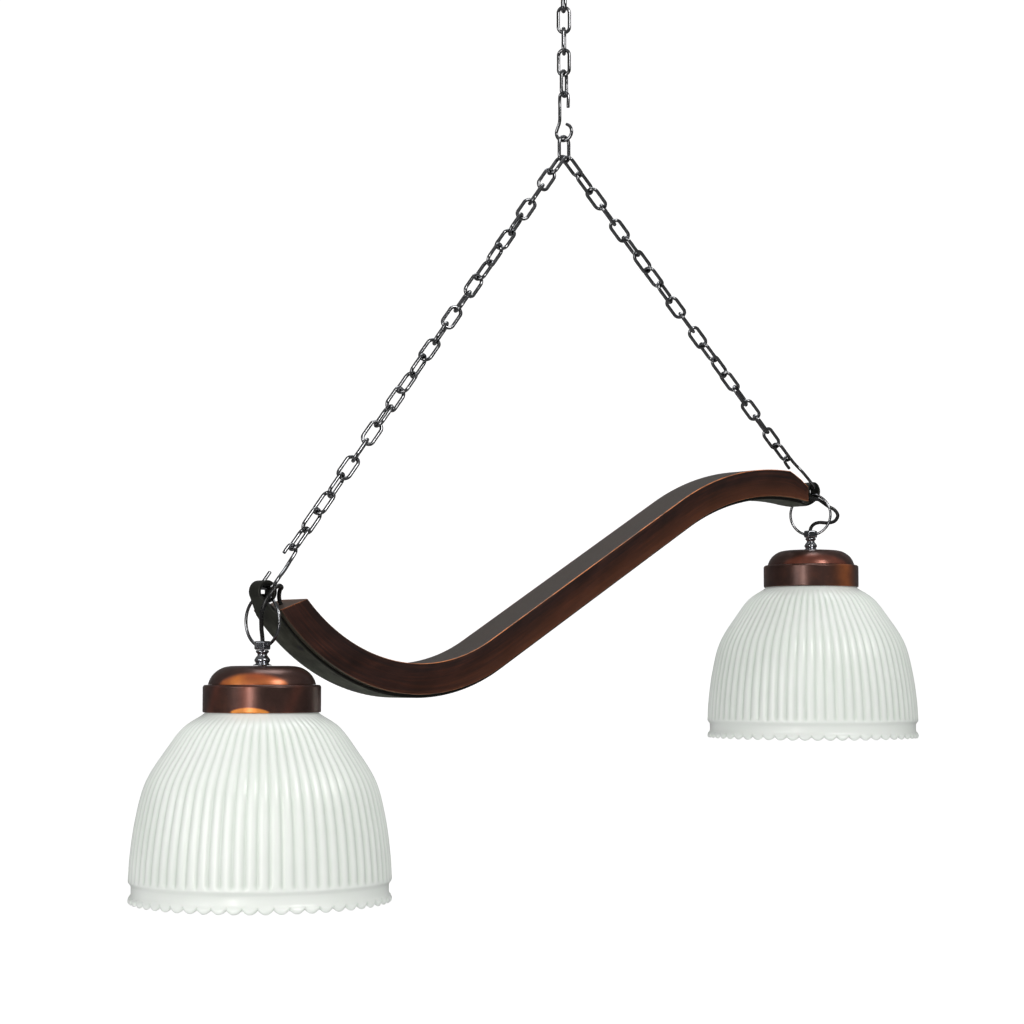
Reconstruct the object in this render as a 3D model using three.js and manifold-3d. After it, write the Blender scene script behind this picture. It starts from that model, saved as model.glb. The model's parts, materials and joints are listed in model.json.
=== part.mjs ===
// Two-shade pool table lamp hanging from a ceiling hook.
// An S-curved wooden beam with a steel strap under it hangs on two chains from one top chain.
// A glass shade hangs on a wire ring at each end of the strap.
// Millimetres, +Z up. X runs along the beam, Y across it. The ceiling is the plane Z = 0.
import * as THREE from 'three';
import Module from 'manifold-3d';
import { mergeVertices } from 'three/addons/utils/BufferGeometryUtils.js';

const wasm = await Module();
wasm.setup();

// ---------- driving dimensions ----------
const GAP = 0.3; // clearance between pieces that touch

// chain: oval links of round wire
const LINK_WIRE_R = 1.85;
const LINK_INNER_R = 4.0;
const LINK_PITCH = 22.7;
const LEFT_LINKS = 24;
const RIGHT_LINKS = 20;
const TOP_LINKS = 5;
const LINK_SLACK = 0.6; // play between links that are separate pieces
const LEFT_TWIST = -270 / 23; // degrees each link turns on the one above it, besides the quarter turn
const RIGHT_TWIST = 270 / 19;
const TOP_TWIST = 10;
const APEX_INNER_R = 4.95; // the wider link that carries both side chains

// bent wire hooks
const HOOK_WIRE_R = 1.75;
const HOOK_LENGTH = 51.5; // between the wire centres of its two bends
const HOOK_LOOP_R = 8.9;
const HOOK_EYE_R = 4.9;
const APEX_HOOK_YAW = 20; // degrees from square across the beam

// ceiling fitting
const PLATE_R = 36;
const PLATE_T = 4;
const CEILING_WIRE_R = 2.5;
const CEILING_LOOP_R = 9.5;
const CEILING_STEM = 16;

// beam, drawn in its own frame: origin in the left scroll, x along the beam
const BEAM_W = 44;
const BEAM_T = 30;
const TROUGH = { x: 188.7, y: 89.0, r: 200 };
const CREST = { x: 657.5, y: -293.2, r: 317 };
const LEFT_END = { under: 209.7, top: 213.1 }; // degrees round the trough centre
const RIGHT_END = { under: 71.75, top: 77.7, nose: 72.3, noseR: 318.9 };
const BEAM_SLOPE = 9.6; // degrees the hanging beam leans, left end low: its weight hangs under the hook
const EDGE = 1.2;

// strap under the beam, rolled into a scroll at each end
const STRAP_T = 3;
const STRAP_W = 34;
const LEFT_SCROLL_W = 16;
const RIGHT_SCROLL_W = 13;
const SCROLL_R = 9; // to the middle of the metal
const SCROLL_TURN = 305;
const RISER_R = 40; // bend between the beam's right end and its scroll
const SCREW_AT = [222, 245, 268]; // degrees round the trough, then mirrored onto the crest
const SCREW_AT_CREST = [78, 92, 106];
const SCREW_SIDE = 10;

// cable
const CABLE_R = 2;
const GROOVE_R = 2.7;
const GROOVE_LIFT = 3.1; // cable centre above the underside of the wood

// pendant, heights measured down from the scroll centre
const RING_R = 23.6;
const RING_WIRE_R = 1.5;
const LEFT_RING_YAW = 5;
const RIGHT_RING_YAW = 26;
const RING_SEAT = 3.4; // ring wire's centre below the scroll's centre
const BOSS = { r: 8, top: -45.5, bottom: -53.5 }; // six-sided, radius to its corners
const NECK = { top: -53.8, bottom: -67.9 };
const DOME = { top: -68.2, bottom: -85.4, r: 49.5, wall: 1.2 };
const BAND = { top: -85.7, bottom: -110.8, r: 54.2, wall: 1.5 };
const SHADE_D = 240;
const SHADE_WALL = 3.2;

// ---------- materials ----------
const mat = (color, roughness, metalness) => new THREE.MeshStandardMaterial({ color, roughness, metalness });
const M = {
  wood: mat(0x4a2013, 0.42, 0),
  strap: mat(0x35352f, 0.5, 0.85),
  blackNickel: mat(0x2b2d30, 0.28, 1),
  gunmetal: mat(0x55585c, 0.3, 1),
  copper: mat(0x5c2b1c, 0.35, 0.9),
  zinc: mat(0x9a9c9e, 0.4, 1),
  brass: mat(0xa8874a, 0.35, 1),
  glass: mat(0xeef1ec, 0.45, 0),
  opal: mat(0xf6f3ea, 0.3, 0),
  porcelain: mat(0xe6e2d8, 0.3, 0),
  cable: mat(0x141414, 0.5, 0),
};

// ---------- geometry helpers ----------
const rad = (d) => (d * Math.PI) / 180;
const V3 = (x, y, z) => new THREE.Vector3(x, y, z);

function solidOf(geometry) {
  const g = geometry.clone();
  g.deleteAttribute('normal');
  g.deleteAttribute('uv');
  const welded = mergeVertices(g, 1e-4);
  return new wasm.Manifold(new wasm.Mesh({
    numProp: 3,
    vertProperties: new Float32Array(welded.attributes.position.array),
    triVerts: new Uint32Array(welded.index.array),
  }));
}

function geometryOf(solid) {
  const mesh = solid.getMesh();
  const g = new THREE.BufferGeometry();
  g.setAttribute('position', new THREE.BufferAttribute(new Float32Array(mesh.vertProperties), 3));
  g.setIndex(new THREE.BufferAttribute(new Uint32Array(mesh.triVerts), 1));
  g.computeVertexNormals();
  return g;
}

const cut = (geometry, ...tools) => {
  let solid = solidOf(geometry);
  for (const tool of tools) {
    solid = solid.subtract(solidOf(tool));
  }
  return geometryOf(solid);
};

const join = (geometries) => {
  let solid = solidOf(geometries[0]);
  for (const g of geometries.slice(1)) {
    solid = solid.add(solidOf(g));
  }
  return geometryOf(solid);
};

// closed profile of [radius, height] pairs turned round Z
function turned(profile, segments = 32) {
  const points = profile.map(([r, z]) => new THREE.Vector2(Math.max(r, 0), z));
  const onAxis = profile[0][0] <= 0 && profile[profile.length - 1][0] <= 0;
  if (!onAxis) {
    points.push(points[0].clone());
  }
  const g = new THREE.LatheGeometry(points, segments);
  g.rotateX(Math.PI / 2);
  return orient(g);
}

// turns a closed mesh the right way out when its volume comes out negative
function orient(geometry) {
  const g = geometry.index ? geometry.toNonIndexed() : geometry;
  const p = g.attributes.position;
  let volume = 0;
  for (let i = 0; i < p.count; i += 3) {
    const a = V3().fromBufferAttribute(p, i);
    const b = V3().fromBufferAttribute(p, i + 1);
    const c = V3().fromBufferAttribute(p, i + 2);
    volume += a.dot(b.cross(c));
  }
  if (volume < 0) {
    for (let i = 0; i < p.count; i += 3) {
      const b = V3().fromBufferAttribute(p, i + 1);
      const c = V3().fromBufferAttribute(p, i + 2);
      p.setXYZ(i + 1, c.x, c.y, c.z);
      p.setXYZ(i + 2, b.x, b.y, b.z);
    }
  }
  g.deleteAttribute('normal');
  g.deleteAttribute('uv');
  const welded = mergeVertices(g, 1e-4);
  welded.computeVertexNormals();
  return welded;
}

// a straight prism with a regular cross-section, standing on z0
function prism(r, z0, z1, sides = 24) {
  return turned([[0, z0], [r, z0], [r, z1], [0, z1]], sides);
}

// a flat outline in the X-Z plane given thickness along Y, centred on Y = 0
function slab(outline, width, bevel = 0) {
  const shape = new THREE.Shape(outline.map(([x, z]) => new THREE.Vector2(x, z)));
  const g = new THREE.ExtrudeGeometry(shape, {
    depth: width - 2 * bevel,
    bevelEnabled: bevel > 0,
    bevelThickness: bevel,
    bevelSize: bevel,
    bevelOffset: -bevel,
    bevelSegments: 1,
    curveSegments: 1,
  });
  g.translate(0, 0, -(width - 2 * bevel) / 2);
  g.rotateX(Math.PI / 2);
  return orient(g);
}

// round wire along an open line of points
function wire(points, r, steps, sides = 6) {
  const path = new THREE.CatmullRomCurve3(points, false, 'centripetal');
  return sweep(path, r, steps, sides);
}

function sweep(path, r, steps, sides) {
  const shape = new THREE.Shape();
  for (let i = 0; i < sides; i += 1) {
    const a = (2 * Math.PI * i) / sides;
    shape[i ? 'lineTo' : 'moveTo'](r * Math.cos(a), r * Math.sin(a));
  }
  const g = new THREE.ExtrudeGeometry(shape, { steps, bevelEnabled: false, extrudePath: path });
  return orient(g);
}

// closed wire: rings of points round a closed centre line that lies in the X-Z plane
function closedWire(line, r, sides = 6) {
  const n = line.length;
  const position = [];
  const index = [];
  for (let i = 0; i < n; i += 1) {
    const before = line[(i + n - 1) % n];
    const after = line[(i + 1) % n];
    const along = after.clone().sub(before).normalize();
    const out = V3(along.z, 0, -along.x);
    for (let k = 0; k < sides; k += 1) {
      const a = (2 * Math.PI * (k + 0.5)) / sides;
      const p = line[i].clone().addScaledVector(out, r * Math.cos(a)).add(V3(0, r * Math.sin(a), 0));
      position.push(p.x, p.y, p.z);
    }
  }
  for (let i = 0; i < n; i += 1) {
    for (let k = 0; k < sides; k += 1) {
      const a = i * sides + k;
      const b = i * sides + ((k + 1) % sides);
      const c = ((i + 1) % n) * sides + k;
      const d = ((i + 1) % n) * sides + ((k + 1) % sides);
      index.push(a, b, c, b, d, c);
    }
  }
  const g = new THREE.BufferGeometry();
  g.setAttribute('position', new THREE.Float32BufferAttribute(position, 3));
  g.setIndex(index);
  return orient(g);
}

// one oval link standing in the X-Z plane, centred on the origin
function link(innerR, innerLength, wireR, bendSteps = 5, sides = 6) {
  const r = innerR + wireR;
  const half = innerLength / 2 - innerR;
  const line = [];
  for (const up of [1, -1]) {
    for (let i = 0; i <= bendSteps; i += 1) {
      const a = (Math.PI * i) / bendSteps;
      line.push(V3(up * r * Math.cos(a), 0, up * (half + r * Math.sin(a))));
    }
  }
  return closedWire(line, wireR, sides);
}

// frame that sends local Z to `along` and local Y to a direction turned by `twist` from +Y
function frameAt(origin, along, twistDegrees) {
  const z = along.clone().normalize();
  const side = V3(0, 1, 0);
  const x = side.clone().cross(z).normalize();
  const a = rad(twistDegrees);
  const wide = side.clone().multiplyScalar(Math.cos(a)).addScaledVector(x, -Math.sin(a));
  const thin = wide.clone().cross(z).normalize();
  return new THREE.Matrix4().makeBasis(thin, wide, z).setPosition(origin);
}

const group = new THREE.Group();
group.name = 'pool_table_lamp';

function put(name, geometry, material, matrix = null) {
  const g = geometry.clone();
  if (matrix) {
    g.applyMatrix4(matrix);
  }
  const mesh = new THREE.Mesh(g, material);
  mesh.name = name;
  group.add(mesh);
  return mesh;
}

// ---------- beam in its own frame ----------
const onCircle = (c, r, degrees) => [c.x + r * Math.cos(rad(degrees)), c.y + r * Math.sin(rad(degrees))];

// angle of the straight part's normal, shared by both arcs
const between = Math.hypot(CREST.x - TROUGH.x, CREST.y - TROUGH.y);
const towards = (Math.atan2(CREST.y - TROUGH.y, CREST.x - TROUGH.x) * 180) / Math.PI;
const lean = (Math.acos((TROUGH.r + CREST.r) / between) * 180) / Math.PI;
const TROUGH_EXIT = 360 + towards - lean; // where the trough arc hands over to the straight
const CREST_ENTRY = TROUGH_EXIT - 180;

// angles from one end of an arc to the other, on a grid shared by every piece that follows it
function arcAngles(from, to, step) {
  const dir = Math.sign(to - from);
  const out = [from];
  const first = dir > 0 ? Math.ceil(from / step) * step : Math.floor(from / step) * step;
  for (let a = first; (to - a) * dir > 0; a += dir * step) {
    if (Math.abs(a - from) > step * 0.25 && Math.abs(to - a) > step * 0.25) {
      out.push(a);
    }
  }
  return [...out, to];
}
const TROUGH_STEP = 6;
const CREST_STEP = 5;

// a line that keeps `lift` above the centre line of the wood, from one end angle to the other
function offsetLine(lift, from, to) {
  return [
    ...arcAngles(from, TROUGH_EXIT, TROUGH_STEP).map((a) => onCircle(TROUGH, TROUGH.r - lift, a)),
    ...arcAngles(CREST_ENTRY, to, CREST_STEP).map((a) => onCircle(CREST, CREST.r + lift, a)),
  ];
}

function woodOutline() {
  const under = offsetLine(-BEAM_T / 2, LEFT_END.under, RIGHT_END.under);
  const top = offsetLine(BEAM_T / 2, LEFT_END.top, RIGHT_END.top);
  const nose = onCircle(CREST, RIGHT_END.noseR, RIGHT_END.nose);
  const shoulder = top[top.length - 1];
  const mid = [shoulder[0] * 0.45 + nose[0] * 0.55, shoulder[1] * 0.45 + nose[1] * 0.55 + 2];
  return [...under, nose, mid, ...top.reverse()];
}

// centre line of the strap with its two scrolls
const strapTrough = TROUGH.r + BEAM_T / 2 + GAP + STRAP_T / 2;
const strapCrest = CREST.r - BEAM_T / 2 - GAP - STRAP_T / 2;
const leftReach = Math.hypot(TROUGH.x, TROUGH.y);
const leftBearing = 360 + (Math.atan2(-TROUGH.y, -TROUGH.x) * 180) / Math.PI;
const leftLeave = leftBearing + (Math.acos((strapTrough - SCROLL_R) / leftReach) * 180) / Math.PI;
const riserStart = (() => {
  const [x, y] = onCircle(CREST, strapCrest, RIGHT_END.under - 0.4);
  return { x, y };
})();
const riserNormal = RIGHT_END.under - 0.4;
const riser = (() => {
  const [x, y] = onCircle(riserStart, RISER_R, riserNormal);
  return { x, y };
})();
const RISER_END = -57.8; // degrees round the riser's centre where the scroll begins
const [scrollX, scrollY] = onCircle(riser, RISER_R - SCROLL_R, RISER_END);
const LEFT_SCROLL = { x: 0, y: 0 };
const RIGHT_SCROLL = { x: scrollX, y: scrollY };

const CURL_STEPS = 12;
function strapLine() {
  const out = [];
  const curl = CURL_STEPS;
  for (let i = 0; i <= curl; i += 1) {
    out.push(onCircle(LEFT_SCROLL, SCROLL_R, leftLeave - SCROLL_TURN + (SCROLL_TURN * i) / curl));
  }
  out.push(...arcAngles(leftLeave, TROUGH_EXIT, TROUGH_STEP).map((a) => onCircle(TROUGH, strapTrough, a)));
  out.push(...arcAngles(CREST_ENTRY, riserNormal, CREST_STEP).map((a) => onCircle(CREST, strapCrest, a)));
  const n3 = 3;
  const riserFrom = riserNormal - 180;
  for (let i = 1; i < n3; i += 1) {
    out.push(onCircle(riser, RISER_R, riserFrom + ((RISER_END - riserFrom) * i) / n3));
  }
  for (let i = 0; i <= curl; i += 1) {
    out.push(onCircle(RIGHT_SCROLL, SCROLL_R, RISER_END + (SCROLL_TURN * i) / curl));
  }
  return out;
}

// thickens an open line, or the stretch of it between two of its points, into a closed outline
function ribbon(line, thickness, from = 0, to = line.length - 1) {
  const left = [];
  const right = [];
  line.forEach(([x, y], i) => {
    if (i < from || i > to) {
      return;
    }
    const [ax, ay] = line[Math.max(i - 1, 0)];
    const [bx, by] = line[Math.min(i + 1, line.length - 1)];
    const length = Math.hypot(bx - ax, by - ay);
    const nx = (-(by - ay) / length) * (thickness / 2);
    const ny = ((bx - ax) / length) * (thickness / 2);
    left.push([x + nx, y + ny]);
    right.push([x - nx, y - ny]);
  });
  return [...left, ...right.reverse()];
}

// plan outline of the strap between its scrolls, narrowed to their width at both ends
function strapPlan() {
  const half = STRAP_W / 2;
  const left = LEFT_SCROLL_W / 2;
  const right = RIGHT_SCROLL_W / 2;
  const xr = RIGHT_SCROLL.x;
  const edge = [[-14, left], [-5, left], [2, half], [xr - 34, half], [xr - 16, right], [xr + 14, right]];
  const outline = [...edge, ...edge.map(([x, y]) => [x, -y]).reverse()];
  const shape = new THREE.Shape(outline.map(([x, y]) => new THREE.Vector2(x, y)));
  const g = new THREE.ExtrudeGeometry(shape, { depth: 400, bevelEnabled: false });
  g.translate(0, 0, -200);
  return orient(g);
}

const SCREW_R = 1.9;
const SCREW_HEAD_R = 4;
const SCREW_LENGTH = 17;

// countersunk screw, head flush at z = 0, point upwards
function strapScrew(grow = 0) {
  const r = SCREW_R + grow;
  const h = SCREW_HEAD_R + grow;
  const tip = SCREW_LENGTH + grow;
  return turned([[0, -grow], [h, -grow], [h, 0.5], [r, 2.8], [r, tip - 2.5], [0, tip]], 10);
}

// the screws go in square to the strap, alternating from side to side
const screwFrames = [];
SCREW_AT.forEach((degrees, i) => {
  const [x, z] = onCircle(TROUGH, strapTrough + STRAP_T / 2, degrees);
  const up = V3(-Math.cos(rad(degrees)), 0, -Math.sin(rad(degrees)));
  screwFrames.push(frameAt(V3(x, i % 2 ? SCREW_SIDE : -SCREW_SIDE, z), up, 0));
});
SCREW_AT_CREST.forEach((degrees, i) => {
  const [x, z] = onCircle(CREST, strapCrest - STRAP_T / 2, degrees);
  const up = V3(Math.cos(rad(degrees)), 0, Math.sin(rad(degrees)));
  screwFrames.push(frameAt(V3(x, i % 2 ? -SCREW_SIDE : SCREW_SIDE, z), up, 0));
});

// ---------- placing everything ----------
const slope = rad(BEAM_SLOPE);
const turn = (x, z) => [x * Math.cos(slope) - z * Math.sin(slope), x * Math.sin(slope) + z * Math.cos(slope)];
const [scrollDX, scrollDZ] = turn(RIGHT_SCROLL.x, RIGHT_SCROLL.y);

// from a scroll centre to the wire of the first link in the wide link
const boreR = SCROLL_R - STRAP_T / 2;
const hookWireAt = boreR - 1.2 - HOOK_WIRE_R;
const lastLinkInner = hookWireAt + HOOK_LENGTH - HOOK_WIRE_R - LINK_SLACK;
const sideReach = (links) => lastLinkInner + links * LINK_PITCH + LINK_WIRE_R;
const SEAT = { x: 2.4, z: -1.3 }; // where each side chain sits in the wide link's lower bend

// lower bend centre of the wide link, from the left scroll
const apex = (() => {
  const ax = SEAT.x;
  const az = -SEAT.z;
  const bx = scrollDX - SEAT.x;
  const bz = scrollDZ - SEAT.z;
  const d1 = sideReach(LEFT_LINKS);
  const d2 = sideReach(RIGHT_LINKS);
  const base = Math.hypot(bx - ax, bz - az);
  const along = (d1 * d1 - d2 * d2 + base * base) / (2 * base);
  const rise = Math.sqrt(d1 * d1 - along * along);
  const ux = (bx - ax) / base;
  const uz = (bz - az) / base;
  return { x: ax + along * ux - rise * uz, z: az + along * uz + rise * ux };
})();

// heights down from the ceiling to that bend centre
const ceilingWireZ = -(PLATE_T + CEILING_STEM + 2 * CEILING_LOOP_R + 2);
const topLinkInner = LINK_PITCH + LINK_SLACK;
const firstTopLinkZ = ceilingWireZ + CEILING_WIRE_R + LINK_SLACK - topLinkInner / 2;
const lastTopWireZ = firstTopLinkZ - (TOP_LINKS - 1) * LINK_PITCH - topLinkInner / 2 - LINK_WIRE_R;
const apexHookTopZ = lastTopWireZ + LINK_WIRE_R + LINK_SLACK + HOOK_WIRE_R;
const apexHookBottomZ = apexHookTopZ - HOOK_LENGTH;
const apexUpperBendZ = apexHookBottomZ - (APEX_INNER_R - HOOK_WIRE_R - LINK_SLACK);
const apexLowerBendZ = apexUpperBendZ - (topLinkInner - 2 * APEX_INNER_R);

const leftC = V3(-apex.x, 0, apexLowerBendZ - apex.z);
const rightC = V3(leftC.x + scrollDX, 0, leftC.z + scrollDZ);
const beamFrame = new THREE.Matrix4().makeTranslation(leftC.x, 0, leftC.z)
  .multiply(new THREE.Matrix4().makeRotationY(-slope));
const beamPoint = (x, y, z) => V3(x, y, z).applyMatrix4(beamFrame);

// ---------- ceiling fitting ----------
const STEM_R = 3;
const plateHoles = [-22, 22];
const PLATE_HOLE_R = 2.25;
const plateScrew = turned([
  [0, -0.3], [2, -0.3], [2, -2.8], [4.2, -3.8], [4.2, -4.4], [2.6, -4.7], [0, -4.7],
], 12);
const plateBlank = turned([[0, 0], [PLATE_R, 0], [PLATE_R, -1.6], [PLATE_R - 3, -PLATE_T], [0, -PLATE_T]], 28);
const holeTools = plateHoles.map((x) => {
  const g = turned([
    [0, 1], [PLATE_HOLE_R, 1], [PLATE_HOLE_R, -2.4], [4.5, -3.5], [4.5, -PLATE_T - 1], [0, -PLATE_T - 1],
  ], 12);
  g.translate(x, 0, 0);
  return g;
});
put('ceiling_plate', cut(plateBlank, prism(STEM_R + GAP, -PLATE_T - 1, -1, 16), ...holeTools), M.gunmetal);
plateHoles.forEach((x, i) => {
  put(`plate_screw_${i + 1}`, plateScrew, M.zinc, new THREE.Matrix4().makeTranslation(x, 0, 0));
});
const NUT_TOP = -PLATE_T - GAP;
const NUT_BOTTOM = NUT_TOP - 5;
const nutBore = prism(STEM_R + 0.2, NUT_BOTTOM - 1, NUT_TOP + 1, 16);
put('hook_nut', cut(prism(6.2, NUT_BOTTOM, NUT_TOP, 6), nutBore), M.zinc);

// open round hook: stem down, then round to an open end
function ceilingHookLine() {
  const c = ceilingWireZ + CEILING_LOOP_R;
  const out = [V3(0, 0, c + CEILING_LOOP_R + 6)];
  for (let a = 112; a >= -170; a -= 23.5) {
    out.push(V3(-CEILING_LOOP_R * Math.cos(rad(a)), 0, c + CEILING_LOOP_R * Math.sin(rad(a))));
  }
  return out;
}
const hookTurn = new THREE.Matrix4().makeRotationZ(rad(-35));
const stem = prism(STEM_R, ceilingWireZ + 2 * CEILING_LOOP_R + 4, -1.3, 12);
put('ceiling_hook', join([stem, wire(ceilingHookLine(), CEILING_WIRE_R, 20, 6)]), M.blackNickel, hookTurn);

// ---------- top chain ----------
// the lowest link crosses the hook's upper bend; each one above adds a quarter turn and a little twist
for (let i = 0; i < TOP_LINKS; i += 1) {
  const z = firstTopLinkZ - i * LINK_PITCH;
  const up = TOP_LINKS - 1 - i;
  const yaw = APEX_HOOK_YAW + up * (90 + TOP_TWIST);
  const m = new THREE.Matrix4().makeRotationZ(rad(yaw)).setPosition(0, 0, z);
  put(`top_link_${i + 1}`, link(LINK_INNER_R, topLinkInner, LINK_WIRE_R, 4, 6), M.blackNickel, m);
}

// ---------- hooks ----------
// hook above the wide link: a nearly closed round loop below and a narrow bend above, in one plane
function apexHookLine() {
  const out = [];
  for (let a = 72; a >= -208; a -= 20) {
    out.push(V3(HOOK_LOOP_R * Math.cos(rad(a)), 0, HOOK_LOOP_R + HOOK_LOOP_R * Math.sin(rad(a))));
  }
  out.push(V3(-HOOK_EYE_R - 0.4, 0, HOOK_LOOP_R * 2 + 2));
  out.push(V3(-HOOK_EYE_R, 0, HOOK_LENGTH - 20));
  const c = HOOK_LENGTH - HOOK_EYE_R;
  for (let a = 180; a >= 0; a -= 30) {
    out.push(V3(HOOK_EYE_R * Math.cos(rad(a)), 0, c + HOOK_EYE_R * Math.sin(rad(a))));
  }
  out.push(V3(HOOK_EYE_R, 0, c - 12));
  return out;
}
const apexHookFrame = new THREE.Matrix4().makeRotationZ(rad(APEX_HOOK_YAW - 90));
apexHookFrame.setPosition(0, 0, apexHookBottomZ);
put('apex_hook', wire(apexHookLine(), HOOK_WIRE_R, 44, 6), M.blackNickel, apexHookFrame);

const apexLinkZ = (apexUpperBendZ + apexLowerBendZ) / 2;
put('apex_link', link(APEX_INNER_R, topLinkInner, LINK_WIRE_R, 6, 6), M.blackNickel,
  new THREE.Matrix4().makeTranslation(0, 0, apexLinkZ));

// side hook, local Z towards the chain: a square loop through the scroll and a crossed narrow bend
function sideHookLine() {
  const w = 10.4;
  const c = 4.5;
  const out = [V3(0, w, 20), V3(0, w, 12), V3(0, w, c)];
  for (const a of [-30, -60, -90]) {
    out.push(V3(0, w - c + c * Math.cos(rad(a)), c + c * Math.sin(rad(a))));
  }
  for (const a of [-90, -120, -150, -180]) {
    out.push(V3(0, c - w + c * Math.cos(rad(a)), c + c * Math.sin(rad(a))));
  }
  out.push(V3(0, -w, 12), V3(HOOK_EYE_R * 0.5, -w * 0.62, 24), V3(HOOK_EYE_R, -1, HOOK_LENGTH - 16));
  const top = HOOK_LENGTH - HOOK_EYE_R;
  for (let a = 0; a <= 180; a += 30) {
    out.push(V3(HOOK_EYE_R * Math.cos(rad(a)), 0, top + HOOK_EYE_R * Math.sin(rad(a))));
  }
  out.push(V3(-HOOK_EYE_R, 0, top - 8));
  return out;
}

// one side: the hook in the scroll and the run of links up to the wide link
function side(name, scroll, seatX, links, twist) {
  const seat = V3(seatX, 0, apexLowerBendZ + SEAT.z);
  const along = seat.clone().sub(scroll).normalize();
  const hookFrame = frameAt(scroll.clone().addScaledVector(along, hookWireAt), along, 0);
  put(`${name}_hook`, wire(sideHookLine(), HOOK_WIRE_R, 50, 6), M.blackNickel, hookFrame);
  const runLinks = [];
  for (let i = 0; i < links; i += 1) {
    const at = scroll.clone().addScaledVector(along, lastLinkInner + (i + 0.5) * LINK_PITCH);
    const fromTop = links - 1 - i;
    const g = link(LINK_INNER_R, LINK_PITCH - 0.12, LINK_WIRE_R, 3, 5);
    g.applyMatrix4(new THREE.Matrix4().makeRotationZ(rad(90)));
    g.applyMatrix4(frameAt(at, along, fromTop * (90 + twist)));
    runLinks.push(g);
  }
  put(`${name}_chain`, join(runLinks), M.blackNickel);
}
side('left', leftC, -SEAT.x, LEFT_LINKS, LEFT_TWIST);
side('right', rightC, SEAT.x, RIGHT_LINKS, RIGHT_TWIST);

// ---------- cable ----------
const grooveLift = -BEAM_T / 2 + GROOVE_LIFT;
const groovePoints = offsetLine(grooveLift, 226, 79.5).map(([x, z]) => beamPoint(x, 0, z));
const leftEntry = [
  beamPoint(15, -5.6, -1.5), beamPoint(15.6, -2.4, -9), beamPoint(19.4, -0.5, -17.5), beamPoint(29, 0, -27),
];
const xr = RIGHT_SCROLL.x;
const zr = RIGHT_SCROLL.y;
const rightExit = [
  beamPoint(xr - 44, 0, zr - 1.5), beamPoint(xr - 31, -2, zr - 2.5), beamPoint(xr - 21, -7.5, zr - 5),
];

// the left tail rises inside the ring and passes in front of the scroll
const fromLeft = (x, y, z) => leftC.clone().add(V3(x, y, z));
const leftTail = [
  fromLeft(0, 0, -84), fromLeft(0, 0, -60), fromLeft(0, 0, -44), fromLeft(-3.5, -3, -32), fromLeft(-7, -9, -18),
  fromLeft(-3.5, -13.6, -5), fromLeft(4.2, -13.6, 3.2),
];
const leftStart = [fromLeft(4.9, -13.5, 3.8), fromLeft(9.4, -12.8, 5.4), fromLeft(13.8, -10.2, 4), ...leftEntry];

// the right tail loops out through the ring and comes back under the end of the beam
const LOOP = { x: Math.cos(rad(42)), y: -Math.sin(rad(42)) };
const fromRight = (out, z, x = 0, y = 0) => rightC.clone().add(V3(out * LOOP.x + x, out * LOOP.y + y, z));
const rightTail = [
  fromRight(0, -84), fromRight(0, -60), fromRight(0, -43.5), fromRight(4, -38), fromRight(10, -36),
  fromRight(20.5, -36.4), fromRight(28, -34.2), fromRight(31.6, -28), fromRight(28, -21.5),
  fromRight(20.5, -17.2), fromRight(0, -12.9, 8.4, -11.5), fromRight(0, -10.1, 2.9, -10.6),
];
const rightStart = [...rightExit, fromRight(0, -9.8, -9, -10.2), fromRight(0, -9.9, 1.3, -10.6)];

const CABLE_STEPS = 110;
const beamCableLine = [...leftStart, ...groovePoints, ...rightStart];
put('link_cable', wire(beamCableLine, CABLE_R, CABLE_STEPS, 6), M.cable);
put('left_cable_tail', wire(leftTail, CABLE_R, 18, 6), M.cable);
put('right_cable_tail', wire(rightTail, CABLE_R, 26, 6), M.cable);

// ---------- beam pieces ----------
const wood = slab(woodOutline(), BEAM_W, EDGE);
wood.applyMatrix4(beamFrame);
const grooveStrip = slab(ribbon(offsetLine(-BEAM_T / 2 + 0.2, 224, 78), 2 * GROOVE_LIFT + 0.4), 2 * GROOVE_R);
grooveStrip.applyMatrix4(beamFrame);
const channel = wire(beamCableLine, GROOVE_R, CABLE_STEPS, 6);
const screwHoles = screwFrames.map((m) => {
  const g = strapScrew(0.25);
  g.applyMatrix4(beamFrame.clone().multiply(m));
  return g;
});
put('wooden_beam', cut(wood, grooveStrip, channel, ...screwHoles), M.wood);

const strapRun = strapLine();
const runEnd = strapRun.length - 1 - CURL_STEPS;
const middle = solidOf(slab(ribbon(strapRun, STRAP_T, CURL_STEPS, runEnd), STRAP_W + 2));
const strapBlank = join([
  geometryOf(middle.intersect(solidOf(strapPlan()))),
  slab(ribbon(strapRun, STRAP_T, 0, CURL_STEPS), LEFT_SCROLL_W),
  slab(ribbon(strapRun, STRAP_T, runEnd, strapRun.length - 1), RIGHT_SCROLL_W),
]);
strapBlank.applyMatrix4(beamFrame);
put('steel_strap', cut(strapBlank, ...screwHoles), M.strap);
screwFrames.forEach((m, i) => {
  put(`strap_screw_${i + 1}`, strapScrew(), M.zinc, beamFrame.clone().multiply(m));
});

// ---------- pendants ----------
// open ring whose two ends are set into the boss
function ringLine() {
  const out = [];
  const open = 11.5;
  for (let i = 0; i <= 20; i += 1) {
    const a = rad(-90 + open + ((360 - 2 * open) * i) / 20);
    out.push(V3(RING_R * Math.cos(a), 0, RING_R * Math.sin(a)));
  }
  return out;
}

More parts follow.
